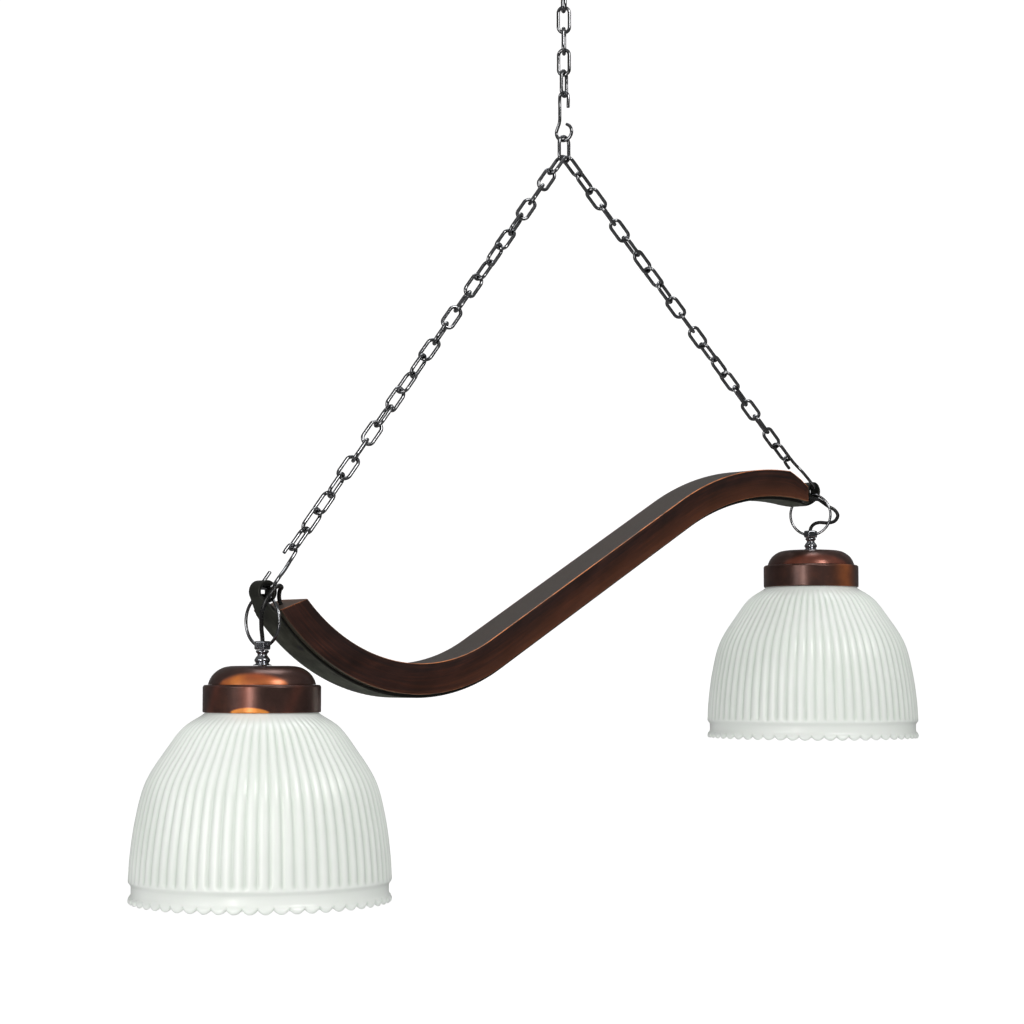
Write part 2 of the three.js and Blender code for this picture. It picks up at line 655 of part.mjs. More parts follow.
// outer outline of the glass: [radius, depth below the cap] as parts of the shade's diameter
const SHADE_CURVE = [
  [0.2245, 0.006], [0.296, 0.054], [0.362, 0.139], [0.438, 0.262], [0.4755, 0.404], [0.4945, 0.546],
  [0.4994, 0.63], [0.488, 0.648], [0.488, 0.68], [0.5, 0.7], [0.5, 0.716],
];
const FITTER_R = 51.9;
const FITTER_TOP = -92;
const FITTER_HOLE = 20.6;

function shade() {
  const outer = [[FITTER_HOLE, FITTER_TOP], [FITTER_R - 4, FITTER_TOP], [FITTER_R, FITTER_TOP - 4]];
  outer.push([FITTER_R, BAND.bottom - 0.3]);
  for (const [r, d] of SHADE_CURVE) {
    outer.push([r * SHADE_D, BAND.bottom - 0.4 - d * SHADE_D]);
  }
  const inner = [
    [0.486, 0.716], [0.474, 0.668], [0.483, 0.59], [0.45, 0.36], [0.37, 0.17], [0.2, 0.0],
  ].map(([r, d]) => [r * SHADE_D, BAND.bottom - 0.4 - d * SHADE_D]);
  inner.push([FITTER_R - SHADE_WALL, FITTER_TOP - SHADE_WALL - 1], [FITTER_HOLE, FITTER_TOP - SHADE_WALL]);
  const profile = [...outer, ...inner];
  const columns = 36;
  const rows = profile.length;
  const position = [];
  const index = [];
  for (let c = 0; c < columns; c += 1) {
    const a = (2 * Math.PI * c) / columns;
    profile.forEach(([r, z], k) => {
      position.push(r * Math.cos(a), r * Math.sin(a), z);
    });
  }
  for (let c = 0; c < columns; c += 1) {
    const n = (c + 1) % columns;
    for (let k = 0; k < rows; k += 1) {
      const m = (k + 1) % rows;
      index.push(c * rows + k, n * rows + k, c * rows + m, n * rows + k, n * rows + m, c * rows + m);
    }
  }
  const g = new THREE.BufferGeometry();
  g.setAttribute('position', new THREE.Float32BufferAttribute(position, 3));
  g.setIndex(index);
  return orient(g);
}

const CABLE_HOLE_R = 2.8;
const NIPPLE = { r: 4.2, bore: CABLE_HOLE_R, top: -60, bottom: -83 };
const HOLDER = { top: -76, bottom: -127, r: 19.8, shoulder: 24.5 };

function pendant(name, centre, ringYaw) {
  const at = new THREE.Matrix4().makeTranslation(centre.x, centre.y, centre.z);
  const ringZ = -RING_SEAT - RING_R;
  const ringFrame = new THREE.Matrix4().makeRotationZ(rad(ringYaw - 90)).setPosition(0, 0, ringZ);
  const ring = wire(ringLine(), RING_WIRE_R, 26, 6);
  ring.applyMatrix4(ringFrame);
  const seat = wire(ringLine(), RING_WIRE_R + 0.3, 26, 6);
  seat.applyMatrix4(ringFrame);
  put(`${name}_ring`, ring, M.blackNickel, at);

  const b = BOSS;
  const bossBore = prism(CABLE_HOLE_R, b.bottom - 1, b.top + 1, 12);
  const bossBlank = turned([
    [0, b.bottom], [b.r - 0.9, b.bottom], [b.r, b.bottom + 0.8],
    [b.r, b.top - 0.8], [b.r - 0.9, b.top], [0, b.top],
  ], 6);
  bossBlank.rotateZ(rad(ringYaw));
  put(`${name}_boss`, cut(bossBlank, bossBore, seat), M.gunmetal, at);

  put(`${name}_neck`, turned([
    [CABLE_HOLE_R, NECK.top], [5.4, NECK.top], [6.0, NECK.top - 1.6], [4.6, NECK.top - 3.2],
    [4.4, NECK.top - 4.6], [6.4, NECK.top - 7.4], [7.2, NECK.top - 9.8], [6.2, NECK.top - 12.2],
    [8.6, NECK.bottom + 0.8], [8.6, NECK.bottom],
    [NIPPLE.r + 0.25, NECK.bottom], [NIPPLE.r + 0.25, NIPPLE.top + 0.4], [CABLE_HOLE_R, NIPPLE.top + 0.4],
  ], 16), M.gunmetal, at);

  const w = DOME.wall;
  const hole = NIPPLE.r + 0.25;
  const domeOuter = [
    [hole, DOME.top], [29, DOME.top - 0.5], [38, DOME.top - 2.6], [44.6, DOME.top - 7], [48, DOME.top - 12],
    [DOME.r, DOME.bottom],
  ];
  const domeInner = [
    [DOME.r - w, DOME.bottom], [43.4, DOME.top - 7.8], [37.2, DOME.top - 3.9], [28.6, DOME.top - 1.8],
    [hole, DOME.top - w],
  ];
  put(`${name}_cap_dome`, turned([...domeOuter, ...domeInner], 28), M.copper, at);

  put(`${name}_cap_band`, turned([
    [46.5, BAND.top], [BAND.r - 0.8, BAND.top], [BAND.r, BAND.top - 0.8], [BAND.r, BAND.bottom + 0.6],
    [BAND.r - 0.6, BAND.bottom], [BAND.r - BAND.wall, BAND.bottom], [BAND.r - BAND.wall, BAND.top - 1.5],
    [46.5, BAND.top - 1.5],
  ], 28), M.copper, at);

  put(`${name}_nipple`, turned([
    [NIPPLE.bore, NIPPLE.bottom], [NIPPLE.r, NIPPLE.bottom], [NIPPLE.r, NIPPLE.top], [NIPPLE.bore, NIPPLE.top],
  ], 16), M.brass, at);
  const nutTop = DOME.top - w - 0.5;
  const lockNutBore = prism(hole, nutTop - 5, nutTop + 1, 16);
  put(`${name}_lock_nut`, cut(prism(8, nutTop - 4, nutTop, 6), lockNutBore), M.brass, at);

  const h = HOLDER;
  put(`${name}_lamp_holder`, turned([
    [hole, h.top], [11, h.top], [17, h.top - 4], [18.5, h.top - 9], [h.shoulder, h.top - 11],
    [h.shoulder, FITTER_TOP + GAP], [h.r, FITTER_TOP + GAP], [h.r, h.bottom + 1], [h.r - 1, h.bottom],
    [15.2, h.bottom], [15.2, h.top - 14],
    [hole, h.top - 12],
  ], 22), M.porcelain, at);
  put(`${name}_thread_shell`, turned([
    [13.9, -93], [14.9, -93], [14.9, -123], [13.9, -123],
  ], 18), M.brass, at);
  put(`${name}_shade_ring`, turned([
    [h.r + GAP, FITTER_TOP - SHADE_WALL - GAP], [29, FITTER_TOP - SHADE_WALL - GAP],
    [29, FITTER_TOP - SHADE_WALL - 3], [24.5, FITTER_TOP - SHADE_WALL - 7],
    [h.r + GAP, FITTER_TOP - SHADE_WALL - 7],
  ], 22), M.porcelain, at);

  put(`${name}_shade`, shade(), M.glass, at);

  put(`${name}_bulb_cap`, turned([
    [0, -95], [4.5, -95], [5, -96.5], [8, -98.5], [13.2, -99.5], [13.2, -122.5], [12.6, -125], [0, -125],
  ], 18), M.zinc, at);
  const glass = [
    [10, -125.3], [12.8, -125.3], [13.6, -133], [21, -151], [28, -164], [30, -175], [28, -187],
    [21.5, -197.5], [11.5, -203.5], [0, -205.3],
  ];
  const inside = [
    [0, -204], [20, -196.5], [28.5, -176], [20.5, -153], [11.5, -132], [10, -128],
  ];
  put(`${name}_bulb_glass`, bulbShell(glass, inside), M.opal, at);
}

// a bulb envelope is open at its neck and closed at its foot, so it is one skin inside another
function bulbShell(outside, inside) {
  const outer = turned([[0, outside[0][1]], ...outside], 18);
  const open = inside[inside.length - 1][1] + 10;
  const core = turned([[0, open], [10, open], ...inside.slice().reverse()], 18);
  return cut(outer, core);
}

pendant('left', leftC, LEFT_RING_YAW);
pendant('right', rightC, RIGHT_RING_YAW);

export default group;
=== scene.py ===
import json
import math

import bmesh
import bpy
import numpy as np
from mathutils import Matrix, Vector
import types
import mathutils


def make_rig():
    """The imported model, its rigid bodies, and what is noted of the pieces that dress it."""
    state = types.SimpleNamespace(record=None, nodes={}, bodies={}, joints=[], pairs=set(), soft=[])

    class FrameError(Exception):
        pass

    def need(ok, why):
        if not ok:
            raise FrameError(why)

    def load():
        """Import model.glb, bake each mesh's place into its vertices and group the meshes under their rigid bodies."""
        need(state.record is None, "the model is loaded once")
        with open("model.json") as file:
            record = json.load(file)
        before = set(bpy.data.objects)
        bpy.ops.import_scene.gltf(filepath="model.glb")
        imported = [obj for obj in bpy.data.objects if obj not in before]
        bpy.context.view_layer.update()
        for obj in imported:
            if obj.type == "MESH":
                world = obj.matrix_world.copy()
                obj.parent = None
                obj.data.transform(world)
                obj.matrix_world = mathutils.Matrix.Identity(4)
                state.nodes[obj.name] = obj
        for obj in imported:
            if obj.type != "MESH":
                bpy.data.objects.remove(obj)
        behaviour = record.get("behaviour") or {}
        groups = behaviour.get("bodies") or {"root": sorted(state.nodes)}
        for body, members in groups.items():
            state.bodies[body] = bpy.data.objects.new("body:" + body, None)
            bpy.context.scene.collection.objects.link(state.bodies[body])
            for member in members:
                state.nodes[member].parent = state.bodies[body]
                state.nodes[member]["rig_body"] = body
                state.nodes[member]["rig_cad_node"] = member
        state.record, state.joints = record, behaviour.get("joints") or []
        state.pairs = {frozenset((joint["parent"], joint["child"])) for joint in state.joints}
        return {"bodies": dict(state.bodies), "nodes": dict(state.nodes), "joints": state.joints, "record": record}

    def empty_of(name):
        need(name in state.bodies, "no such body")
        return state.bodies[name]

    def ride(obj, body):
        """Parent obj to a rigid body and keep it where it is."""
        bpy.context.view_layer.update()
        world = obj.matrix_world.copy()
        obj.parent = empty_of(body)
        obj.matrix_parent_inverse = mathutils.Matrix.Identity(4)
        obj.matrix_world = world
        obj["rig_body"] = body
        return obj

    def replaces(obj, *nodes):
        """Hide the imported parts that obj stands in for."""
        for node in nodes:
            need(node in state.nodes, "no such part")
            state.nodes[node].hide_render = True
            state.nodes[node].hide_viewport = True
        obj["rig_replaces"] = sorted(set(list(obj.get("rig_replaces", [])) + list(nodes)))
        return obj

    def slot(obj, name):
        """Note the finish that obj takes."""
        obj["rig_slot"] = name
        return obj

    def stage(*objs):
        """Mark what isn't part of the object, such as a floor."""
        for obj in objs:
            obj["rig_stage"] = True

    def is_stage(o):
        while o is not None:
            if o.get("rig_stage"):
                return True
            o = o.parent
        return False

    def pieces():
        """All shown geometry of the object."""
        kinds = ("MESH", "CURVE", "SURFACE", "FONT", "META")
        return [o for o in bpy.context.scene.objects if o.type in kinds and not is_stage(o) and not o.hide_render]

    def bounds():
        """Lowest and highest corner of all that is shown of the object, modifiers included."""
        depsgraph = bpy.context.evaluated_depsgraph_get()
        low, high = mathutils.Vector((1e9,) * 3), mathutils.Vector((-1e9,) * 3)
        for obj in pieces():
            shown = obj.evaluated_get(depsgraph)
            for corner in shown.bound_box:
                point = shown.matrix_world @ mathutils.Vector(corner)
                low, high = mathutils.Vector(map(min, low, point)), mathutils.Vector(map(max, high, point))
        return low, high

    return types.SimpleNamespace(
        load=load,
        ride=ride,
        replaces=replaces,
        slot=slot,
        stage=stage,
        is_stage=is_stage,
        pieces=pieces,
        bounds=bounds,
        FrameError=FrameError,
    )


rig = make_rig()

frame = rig.load()
with open("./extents.json", "w") as f:
    json.dump({"cad": [list(v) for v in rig.bounds()]}, f)

# ---------- driving dimensions, in millimetres, the same as the CAD part's ----------
GAP = 0.3  # between pieces that touch
LINK_WIRE_R = 1.85
LINK_INNER_R = 4.0
LINK_PITCH = 22.7  # from one link's middle to the next
LEFT_LINKS = 24
RIGHT_LINKS = 20
TOP_LINKS = 5
LINK_SLACK = 0.6  # between wires that hang in each other
LEFT_TWIST = -270 / 23  # degrees a link turns on its neighbour, besides the quarter turn
RIGHT_TWIST = 270 / 19
TOP_TWIST = 10
APEX_INNER_R = 4.95  # the wide link that carries both side chains
HOOK_WIRE_R = 1.75
HOOK_LENGTH = 51.5
HOOK_LOOP_R = 8.9
HOOK_EYE_R = 4.9
APEX_HOOK_YAW = 20
PLATE_T = 4
PLATE_R = 36
CEILING_WIRE_R = 2.5
CEILING_LOOP_R = 9.5
CEILING_STEM = 16
BEAM_W = 44
BEAM_T = 30
TROUGH = (188.7, 89.0, 200)  # a bend of the beam: centre and radius, from the left scroll
CREST = (657.5, -293.2, 317)
LEFT_UNDER, LEFT_TOP = 209.7, 213.1  # degrees on the bend's circle where the faces end
RIGHT_UNDER, RIGHT_TOP, NOSE, NOSE_R = 71.75, 77.7, 72.3, 318.9
BEAM_SLOPE = 9.6  # degrees from the left scroll up to the right
STRAP_T = 3
STRAP_W = 34
LEFT_SCROLL_W = 16
RIGHT_SCROLL_W = 13
SCROLL_R = 9
SCROLL_TURN = 305  # degrees
RISER_R = 40  # the strap's last bend before the right scroll
RISER_END = -57.8
CABLE_R = 2
GROOVE_R = 2.7
GROOVE_LIFT = 3.1
GROOVE_START, GROOVE_END = 226, 79.5  # degrees on the trough's and the crest's circles
RING_R = 23.6
RING_WIRE_R = 1.5
RING_SEAT = 3.4
RING_GAP = 23  # degrees left open at the foot, inside the boss
RING_YAW = {"left": 5, "right": 26}  # degrees
BORE_R = 2.8
BOSS_R, BOSS_TOP, BOSS_BOTTOM = 8.0, -45.5, -53.5
NECK_TOP, NECK_BOTTOM = -53.8, -67.9
NIPPLE_R, NIPPLE_TOP = 4.45, -59.6
CROWN_R, CROWN_WALL, CROWN_TOP, CROWN_BOTTOM = 49.5, 1.2, -68.2, -85.4
BAND_R, BAND_WALL, BAND_EYE_R = 54.2, 1.5, 46.5
BAND_TOP, BAND_BOTTOM = -85.7, -110.8
BULB_TOP = -125.3
SHADE_D = 240
FITTER_R = 51.9
FITTER_TOP = -92
FITTER_HOLE = 20.6
SHADE_WALL = 3.2
RIB_END = 0.63  # as a share of the shade's diameter, like its depth
SHADE_DEPTH = 0.716
RIBS = 68
SCALLOPS = 54
RIB_DEPTH = 1.6


def cos(degrees):
    return math.cos(math.radians(degrees))


def sin(degrees):
    return math.sin(math.radians(degrees))


def add_object(name, data):
    obj = bpy.data.objects.new(name, data)
    bpy.context.collection.objects.link(obj)
    return obj


# ---------- mesh helpers: everything below works in millimetres until the mesh is made ----------
def make(name, points, faces):
    """A smooth mesh object in metres from points in millimetres."""
    mesh = bpy.data.meshes.new(name)
    mesh.from_pydata([tuple(c / 1000 for c in p) for p in points], [], faces)
    mesh.validate()
    obj = add_object(name, mesh)
    mesh.polygons.foreach_set("use_smooth", [True] * len(mesh.polygons))
    mesh.update()
    return obj


def add_mask(obj, name, at_vertex):
    """Stores a pair of numbers for each vertex in a UV layer, for the materials to read."""
    layer = obj.data.uv_layers.new(name=name)
    for loop in obj.data.loops:
        layer.data[loop.index].uv = at_vertex(loop.vertex_index)


def catmull(points, steps_each=8):
    """Centripetal Catmull-Rom line through the points, as the CAD part's wires run."""

    def between(t, t0, t1, p0, p1):
        return (t1 - t) / (t1 - t0) * p0 + (t - t0) / (t1 - t0) * p1

    p = [np.array(q, float) for q in points]
    p = [2 * p[0] - p[1]] + p + [2 * p[-1] - p[-2]]
    out = []
    for i in range(1, len(p) - 2):
        a, b, c, d = p[i - 1: i + 3]
        knots = [0.0]
        for step in (b - a, c - b, d - c):
            knots.append(knots[-1] + max(np.linalg.norm(step), 1e-6) ** 0.5)
        ta, tb, tc, td = knots
        for k in range(steps_each):
            t = tb + (tc - tb) * k / steps_each
            a1, a2, a3 = between(t, ta, tb, a, b), between(t, tb, tc, b, c), between(t, tc, td, c, d)
            b1, b2 = between(t, ta, tc, a1, a2), between(t, tb, td, a2, a3)
            out.append(between(t, tb, tc, b1, b2))
    out.append(p[-2])
    return out


def tube(name, line, radius, sides=16, closed=False, cap=0.0, radius_at=None):
    """Round wire along a line. cap > 0 rounds its ends over that length; radius_at(point) varies it."""
    line = [np.array(q, float) for q in line]
    n = len(line)
    tangents = []
    for i in range(n):
        a = line[(i - 1) % n] if closed else line[max(i - 1, 0)]
        b = line[(i + 1) % n] if closed else line[min(i + 1, n - 1)]
        v = b - a
        tangents.append(v / max(np.linalg.norm(v), 1e-9))
    normal = np.cross(tangents[0], [0.31, 0.17, 0.93])
    normal /= np.linalg.norm(normal)
    rings, points = [], []
    along = [0.0]
    for i in range(1, n):
        along.append(along[-1] + np.linalg.norm(line[i] - line[i - 1]))
    normals = []
    for i in range(n):
        normal = normal - tangents[i] * normal.dot(tangents[i])
        normal /= np.linalg.norm(normal)
        normals.append(normal.copy())
    turn = 0.0
    if closed:
        last = normals[-1] - tangents[0] * normals[-1].dot(tangents[0])
        last /= np.linalg.norm(last)
        side = np.cross(tangents[0], normals[0])
        turn = math.atan2(last.dot(side), last.dot(normals[0]))

    def ring(at, i, r, extra=0.0):
        t, nrm = tangents[i], normals[i]
        side = np.cross(t, nrm)
        rings.append(len(points))
        for k in range(sides):
            a = 2 * math.pi * k / sides - extra
            points.append(at + r * (math.cos(a) * nrm + math.sin(a) * side))

    def cap_ring(i, k, inwards):
        a = math.pi / 2 * (k + 0.4) / 3.4
        back = inwards * cap * (1 - math.sin(a))
        ring(line[i] + tangents[i] * back, i, radius * math.sin(a) ** 0.6)

    capped = not closed and cap > 0
    if capped:
        for k in (0, 1, 2):
            cap_ring(0, k, 1)
    for i in range(n):
        if capped and (along[i] < cap or along[-1] - along[i] < cap):
            continue
        r = radius if radius_at is None else radius_at(line[i])
        ring(line[i], i, r, turn * i / n if closed else 0)
    if capped:
        for k in (2, 1, 0):
            cap_ring(-1, k, -1)
    faces = []
    count = len(rings)
    for i in range(count if closed else count - 1):
        a, b = rings[i], rings[(i + 1) % count]
        for k in range(sides):
            m = (k + 1) % sides
            faces.append((a + k, a + m, b + m, b + k))
    if not closed:
        faces.append(tuple(rings[0] + k for k in reversed(range(sides))))
        faces.append(tuple(rings[-1] + k for k in range(sides)))
    return make(name, points, faces)


def lathe(name, profile, segments=96, closed=True):
    """Turned body from [radius, height] pairs. An open profile starts and ends on the axis."""
    points, faces = [], []
    rows = len(profile)
    ids = []
    for r, z in profile:
        row = []
        if r <= 1e-6:
            points.append((0, 0, z))
            row = [len(points) - 1] * segments
        else:
            for k in range(segments):
                a = 2 * math.pi * k / segments
                points.append((r * math.cos(a), r * math.sin(a), z))
                row.append(len(points) - 1)
        ids.append(row)
    for i in range(rows if closed else rows - 1):
        a, b = ids[i], ids[(i + 1) % rows]
        for k in range(segments):
            m = (k + 1) % segments
            quad = []
            for v in (a[k], a[m], b[m], b[k]):
                if v not in quad:
                    quad.append(v)
            if len(quad) > 2:
                faces.append(tuple(quad))
    obj = make(name, points, faces)
    recalc(obj)
    return obj


def recalc(obj):
    bm = bmesh.new()
    bm.from_mesh(obj.data)
    bmesh.ops.recalc_face_normals(bm, faces=bm.faces)
    bm.to_mesh(obj.data)
    bm.free()


def rounded(profile, r=0.4, steps=3, closed=True):
    """Rounds the corners of a [radius, height] profile."""
    pts = [np.array(p, float) for p in profile]
    out = []
    n = len(pts)
    for i, p in enumerate(pts):
        if not closed and i in (0, n - 1):
            out.append(p)
            continue
        a, b = pts[(i - 1) % n], pts[(i + 1) % n]
        da, db = a - p, b - p
        la, lb = np.linalg.norm(da), np.linalg.norm(db)
        d = min(r, la * 0.45, lb * 0.45)
        s, e = p + da / la * d, p + db / lb * d
        for k in range(steps + 1):
            t = k / steps
            out.append((1 - t) ** 2 * s + 2 * t * (1 - t) * p + t * t * e)
    return [tuple(p) for p in out]


def bevel(obj, width, segments=3, angle=35):
    m = obj.modifiers.new("edge", "BEVEL")
    m.width = width / 1000
    m.segments = segments
    m.limit_method = "ANGLE"
    m.angle_limit = math.radians(angle)
    m.harden_normals = True
    return obj


def merge(name, objs):
    """One piece out of several meshes."""
    points, faces, smooth = [], [], []
    for o in objs:
        base = len(points)
        points += [tuple(o.matrix_world @ v.co) for v in o.data.vertices]
        for p in o.data.polygons:
            faces.append(tuple(base + v for v in p.vertices))
            smooth.append(p.use_smooth)
        bpy.data.objects.remove(o)
    mesh = bpy.data.meshes.new(name)
    mesh.from_pydata(points, [], faces)
    mesh.polygons.foreach_set("use_smooth", smooth)
    mesh.update()
    return add_object(name, mesh)


def turn_z(degrees):
    return Matrix.Rotation(math.radians(degrees), 4, "Z")


def transform(obj, matrix):
    """Applies a millimetre matrix to a mesh that is in metres."""
    m = matrix.copy()
    m.translation = m.translation / 1000
    obj.data.transform(m)
    return obj


# ---------- the beam's own frame ----------
def on_circle(c, r, degrees):
    return (c[0] + r * cos(degrees), c[1] + r * sin(degrees))


span = math.hypot(CREST[0] - TROUGH[0], CREST[1] - TROUGH[1])
towards = math.degrees(math.atan2(CREST[1] - TROUGH[1], CREST[0] - TROUGH[0]))
lean = math.degrees(math.acos((TROUGH[2] + CREST[2]) / span))
TROUGH_EXIT = 360 + towards - lean
CREST_ENTRY = TROUGH_EXIT - 180


def offset_line(lift, start, end, step=1.5, stretch=24):
    a = np.linspace(start, TROUGH_EXIT, max(int(abs(TROUGH_EXIT - start) / step), 2))
    b = np.linspace(CREST_ENTRY, end, max(int(abs(end - CREST_ENTRY) / step), 2))
    first = [on_circle(TROUGH, TROUGH[2] - lift, d) for d in a]
    last = [on_circle(CREST, CREST[2] + lift, d) for d in b]
    p, q = np.array(first[-1]), np.array(last[0])
    middle = [tuple(p + (q - p) * k / stretch) for k in range(1, stretch)]
    return first + middle + last


strap_trough = TROUGH[2] + BEAM_T / 2 + GAP + STRAP_T / 2
strap_crest = CREST[2] - BEAM_T / 2 - GAP - STRAP_T / 2
left_reach = math.hypot(TROUGH[0], TROUGH[1])
left_bearing = 360 + math.degrees(math.atan2(-TROUGH[1], -TROUGH[0]))
left_leave = left_bearing + math.degrees(math.acos((strap_trough - SCROLL_R) / left_reach))
riser_normal = RIGHT_UNDER - 0.4
riser_start = on_circle(CREST, strap_crest, riser_normal)
riser = on_circle(riser_start, RISER_R, riser_normal)
RIGHT_SCROLL = on_circle(riser, RISER_R - SCROLL_R, RISER_END)

slope = Matrix.Rotation(-math.radians(BEAM_SLOPE), 4, "Y")
scroll_d = slope @ Vector((RIGHT_SCROLL[0], 0, RIGHT_SCROLL[1]))

bore_r = SCROLL_R - STRAP_T / 2
hook_wire_at = bore_r - 1.2 - HOOK_WIRE_R
last_link_inner = hook_wire_at + HOOK_LENGTH - HOOK_WIRE_R - LINK_SLACK
SEAT_X, SEAT_Z = 2.4, -1.3


def side_reach(links):
    return last_link_inner + links * LINK_PITCH + LINK_WIRE_R


def apex_point():
    """Where the two side chains meet, from the left scroll."""
    ax, az = SEAT_X, -SEAT_Z
    bx, bz = scroll_d.x - SEAT_X, scroll_d.z - SEAT_Z
    d1, d2 = side_reach(LEFT_LINKS), side_reach(RIGHT_LINKS)
    base = math.hypot(bx - ax, bz - az)
    along = (d1 * d1 - d2 * d2 + base * base) / (2 * base)
    rise = math.sqrt(d1 * d1 - along * along)
    ux, uz = (bx - ax) / base, (bz - az) / base
    return ax + along * ux - rise * uz, az + along * uz + rise * ux


apex_x, apex_z = apex_point()
ceiling_wire_z = -(PLATE_T + CEILING_STEM + 2 * CEILING_LOOP_R + 2)
top_inner = LINK_PITCH + LINK_SLACK
first_top_z = ceiling_wire_z + CEILING_WIRE_R + LINK_SLACK - top_inner / 2
last_top_wire = first_top_z - (TOP_LINKS - 1) * LINK_PITCH - top_inner / 2 - LINK_WIRE_R
apex_hook_top = last_top_wire + LINK_WIRE_R + LINK_SLACK + HOOK_WIRE_R
apex_hook_bottom = apex_hook_top - HOOK_LENGTH
apex_upper = apex_hook_bottom - (APEX_INNER_R - HOOK_WIRE_R - LINK_SLACK)
apex_lower = apex_upper - (top_inner - 2 * APEX_INNER_R)
LEFT_C = Vector((-apex_x, 0, apex_lower - apex_z))
RIGHT_C = LEFT_C + scroll_d
BEAM = Matrix.Translation(LEFT_C) @ slope


def beam_point(x, y, z):
    return tuple(BEAM @ Vector((x, y, z)))


def frame_at(origin, along, twist):
    z = Vector(along).normalized()
    side = Vector((0, 1, 0))
    x = side.cross(z).normalized()
    wide = side * cos(twist) - x * sin(twist)
    thin = wide.cross(z).normalized()
    m = Matrix((thin, wide, z)).transposed().to_4x4()
    m.translation = origin
    return m


# ---------- materials ----------
def node_material(name):
    m = bpy.data.materials.new(name)
    m.use_nodes = True
    t = m.node_tree
    t.nodes.clear()
    out = t.nodes.new("ShaderNodeOutputMaterial")
    shader = t.nodes.new("ShaderNodeBsdfPrincipled")
    t.links.new(shader.outputs[0], out.inputs[0])
    return m, t, shader


def fill(t, n, inputs):
    """Sets a node's inputs: sockets are linked, and plain values go on the input itself."""
    for k, v in inputs.items():
        if isinstance(v, bpy.types.NodeSocket):
            t.links.new(v, n.inputs[k])
        else:
            n.inputs[k].default_value = v


def node(t, kind, inputs=None, **props):
    n = t.nodes.new("ShaderNode" + kind)
    for k, v in props.items():
        setattr(n, k, v)
    fill(t, n, inputs or {})
    return n


def coords(t, scale=(1, 1, 1)):
    c = node(t, "TexCoord")
    return node(t, "Mapping", {"Vector": c.outputs["Object"], "Scale": scale}).outputs[0]


def noise(t, vector, scale, detail, **more):
    """Grey noise over the vector. Roughness and Distortion may follow by name."""
    return node(t, "TexNoise", {"Vector": vector, "Scale": scale, "Detail": detail, **more}).outputs["Fac"]


def ramp(t, fac, stops):
    r = node(t, "ValToRGB", {"Fac": fac})
    e = r.color_ramp.elements
    while len(e) < len(stops):
        e.new(0.5)
    for el, (pos, col) in zip(e, stops):
        el.position = pos
        el.color = (*col, 1) if len(col) == 3 else (col[0], col[0], col[0], 1)
    return r.outputs[0]


def remap(t, value, source=(0.0, 1.0), target=(0.0, 1.0)):
    """Maps the source span of a value on to the target span and holds it beyond the ends."""
    return node(t, "MapRange", {"Value": value, "From Min": source[0], "From Max": source[1],
                                "To Min": target[0], "To Max": target[1]}).outputs[0]


def maths(t, op, a, b=0.0, clamp=False):
    return node(t, "Math", {0: a, 1: b}, operation=op, use_clamp=clamp).outputs[0]


def mix_colour(t, fac, a, b, kind="MIX"):
    n = node(t, "Mix", data_type="RGBA", blend_type=kind)
    a, b = ((*v, 1) if isinstance(v, tuple) else v for v in (a, b))
    fill(t, n, {0: fac, 6: a, 7: b})
    return n.outputs[2]


def bump(t, height, strength, distance=0.0001):
    return node(t, "Bump", {"Height": height, "Strength": strength, "Distance": distance}).outputs[0]


def stored(t, layer, channel="X"):
    """A mask that the mesh carries in one channel of a UV layer."""
    return node(t, "SeparateXYZ", {"Vector": node(t, "UVMap", uv_map=layer).outputs[0]}).outputs[channel]


def facing(t, axis):
    """How far the surface faces along one axis, from -1 to 1."""
    return node(t, "SeparateXYZ", {"Vector": node(t, "NewGeometry").outputs["Normal"]}).outputs[axis]


def edges(t, radius, low, high):
    """Bright where the surface is convex and sharp, from the difference of two normals."""
    b = node(t, "Bevel", {"Radius": radius}, samples=6)
    g = node(t, "NewGeometry")
    dot = node(t, "VectorMath", {0: b.outputs[0], 1: g.outputs["Normal"]}, operation="DOT_PRODUCT")
    away = maths(t, "SUBTRACT", 1.0, dot.outputs["Value"], True)
    return remap(t, away, (low, high))


def plated(name, colour, rough, worn):
    """Plated steel: dark plate, lighter where it has rubbed, fine speckle."""
    m, t, s = node_material(name)
    v = coords(t)
    fine = noise(t, v, 900.0, 4.0, Roughness=0.6)
    broad = noise(t, v, 90.0, 3.0)
    rubbed = maths(t, "MULTIPLY", ramp(t, broad, [(0.42, (0,)), (0.68, (1,))]), 0.55)
    speckle = maths(t, "MULTIPLY", ramp(t, fine, [(0.55, (0,)), (0.8, (1,))]), 0.24)
    fill(t, s, {
        "Base Color": mix_colour(t, speckle, mix_colour(t, rubbed, colour, worn), worn),
        "Metallic": 1.0,
        "Roughness": remap(t, broad, target=(rough * 0.7, rough * 1.4)),
        "Normal": bump(t, fine, 0.12),
    })
    return m


def warm_strip(t):
    """Lighter orange towards the lower faces, growing from about a sixth to two fifths of the way along the beam."""
    low = remap(t, stored(t, "face", "Y"), (0.75, 0.05), (0.0, 0.55))
    middle = remap(t, stored(t, "face", "X"), (0.16, 0.42))
    return maths(t, "MULTIPLY", low, middle, True)


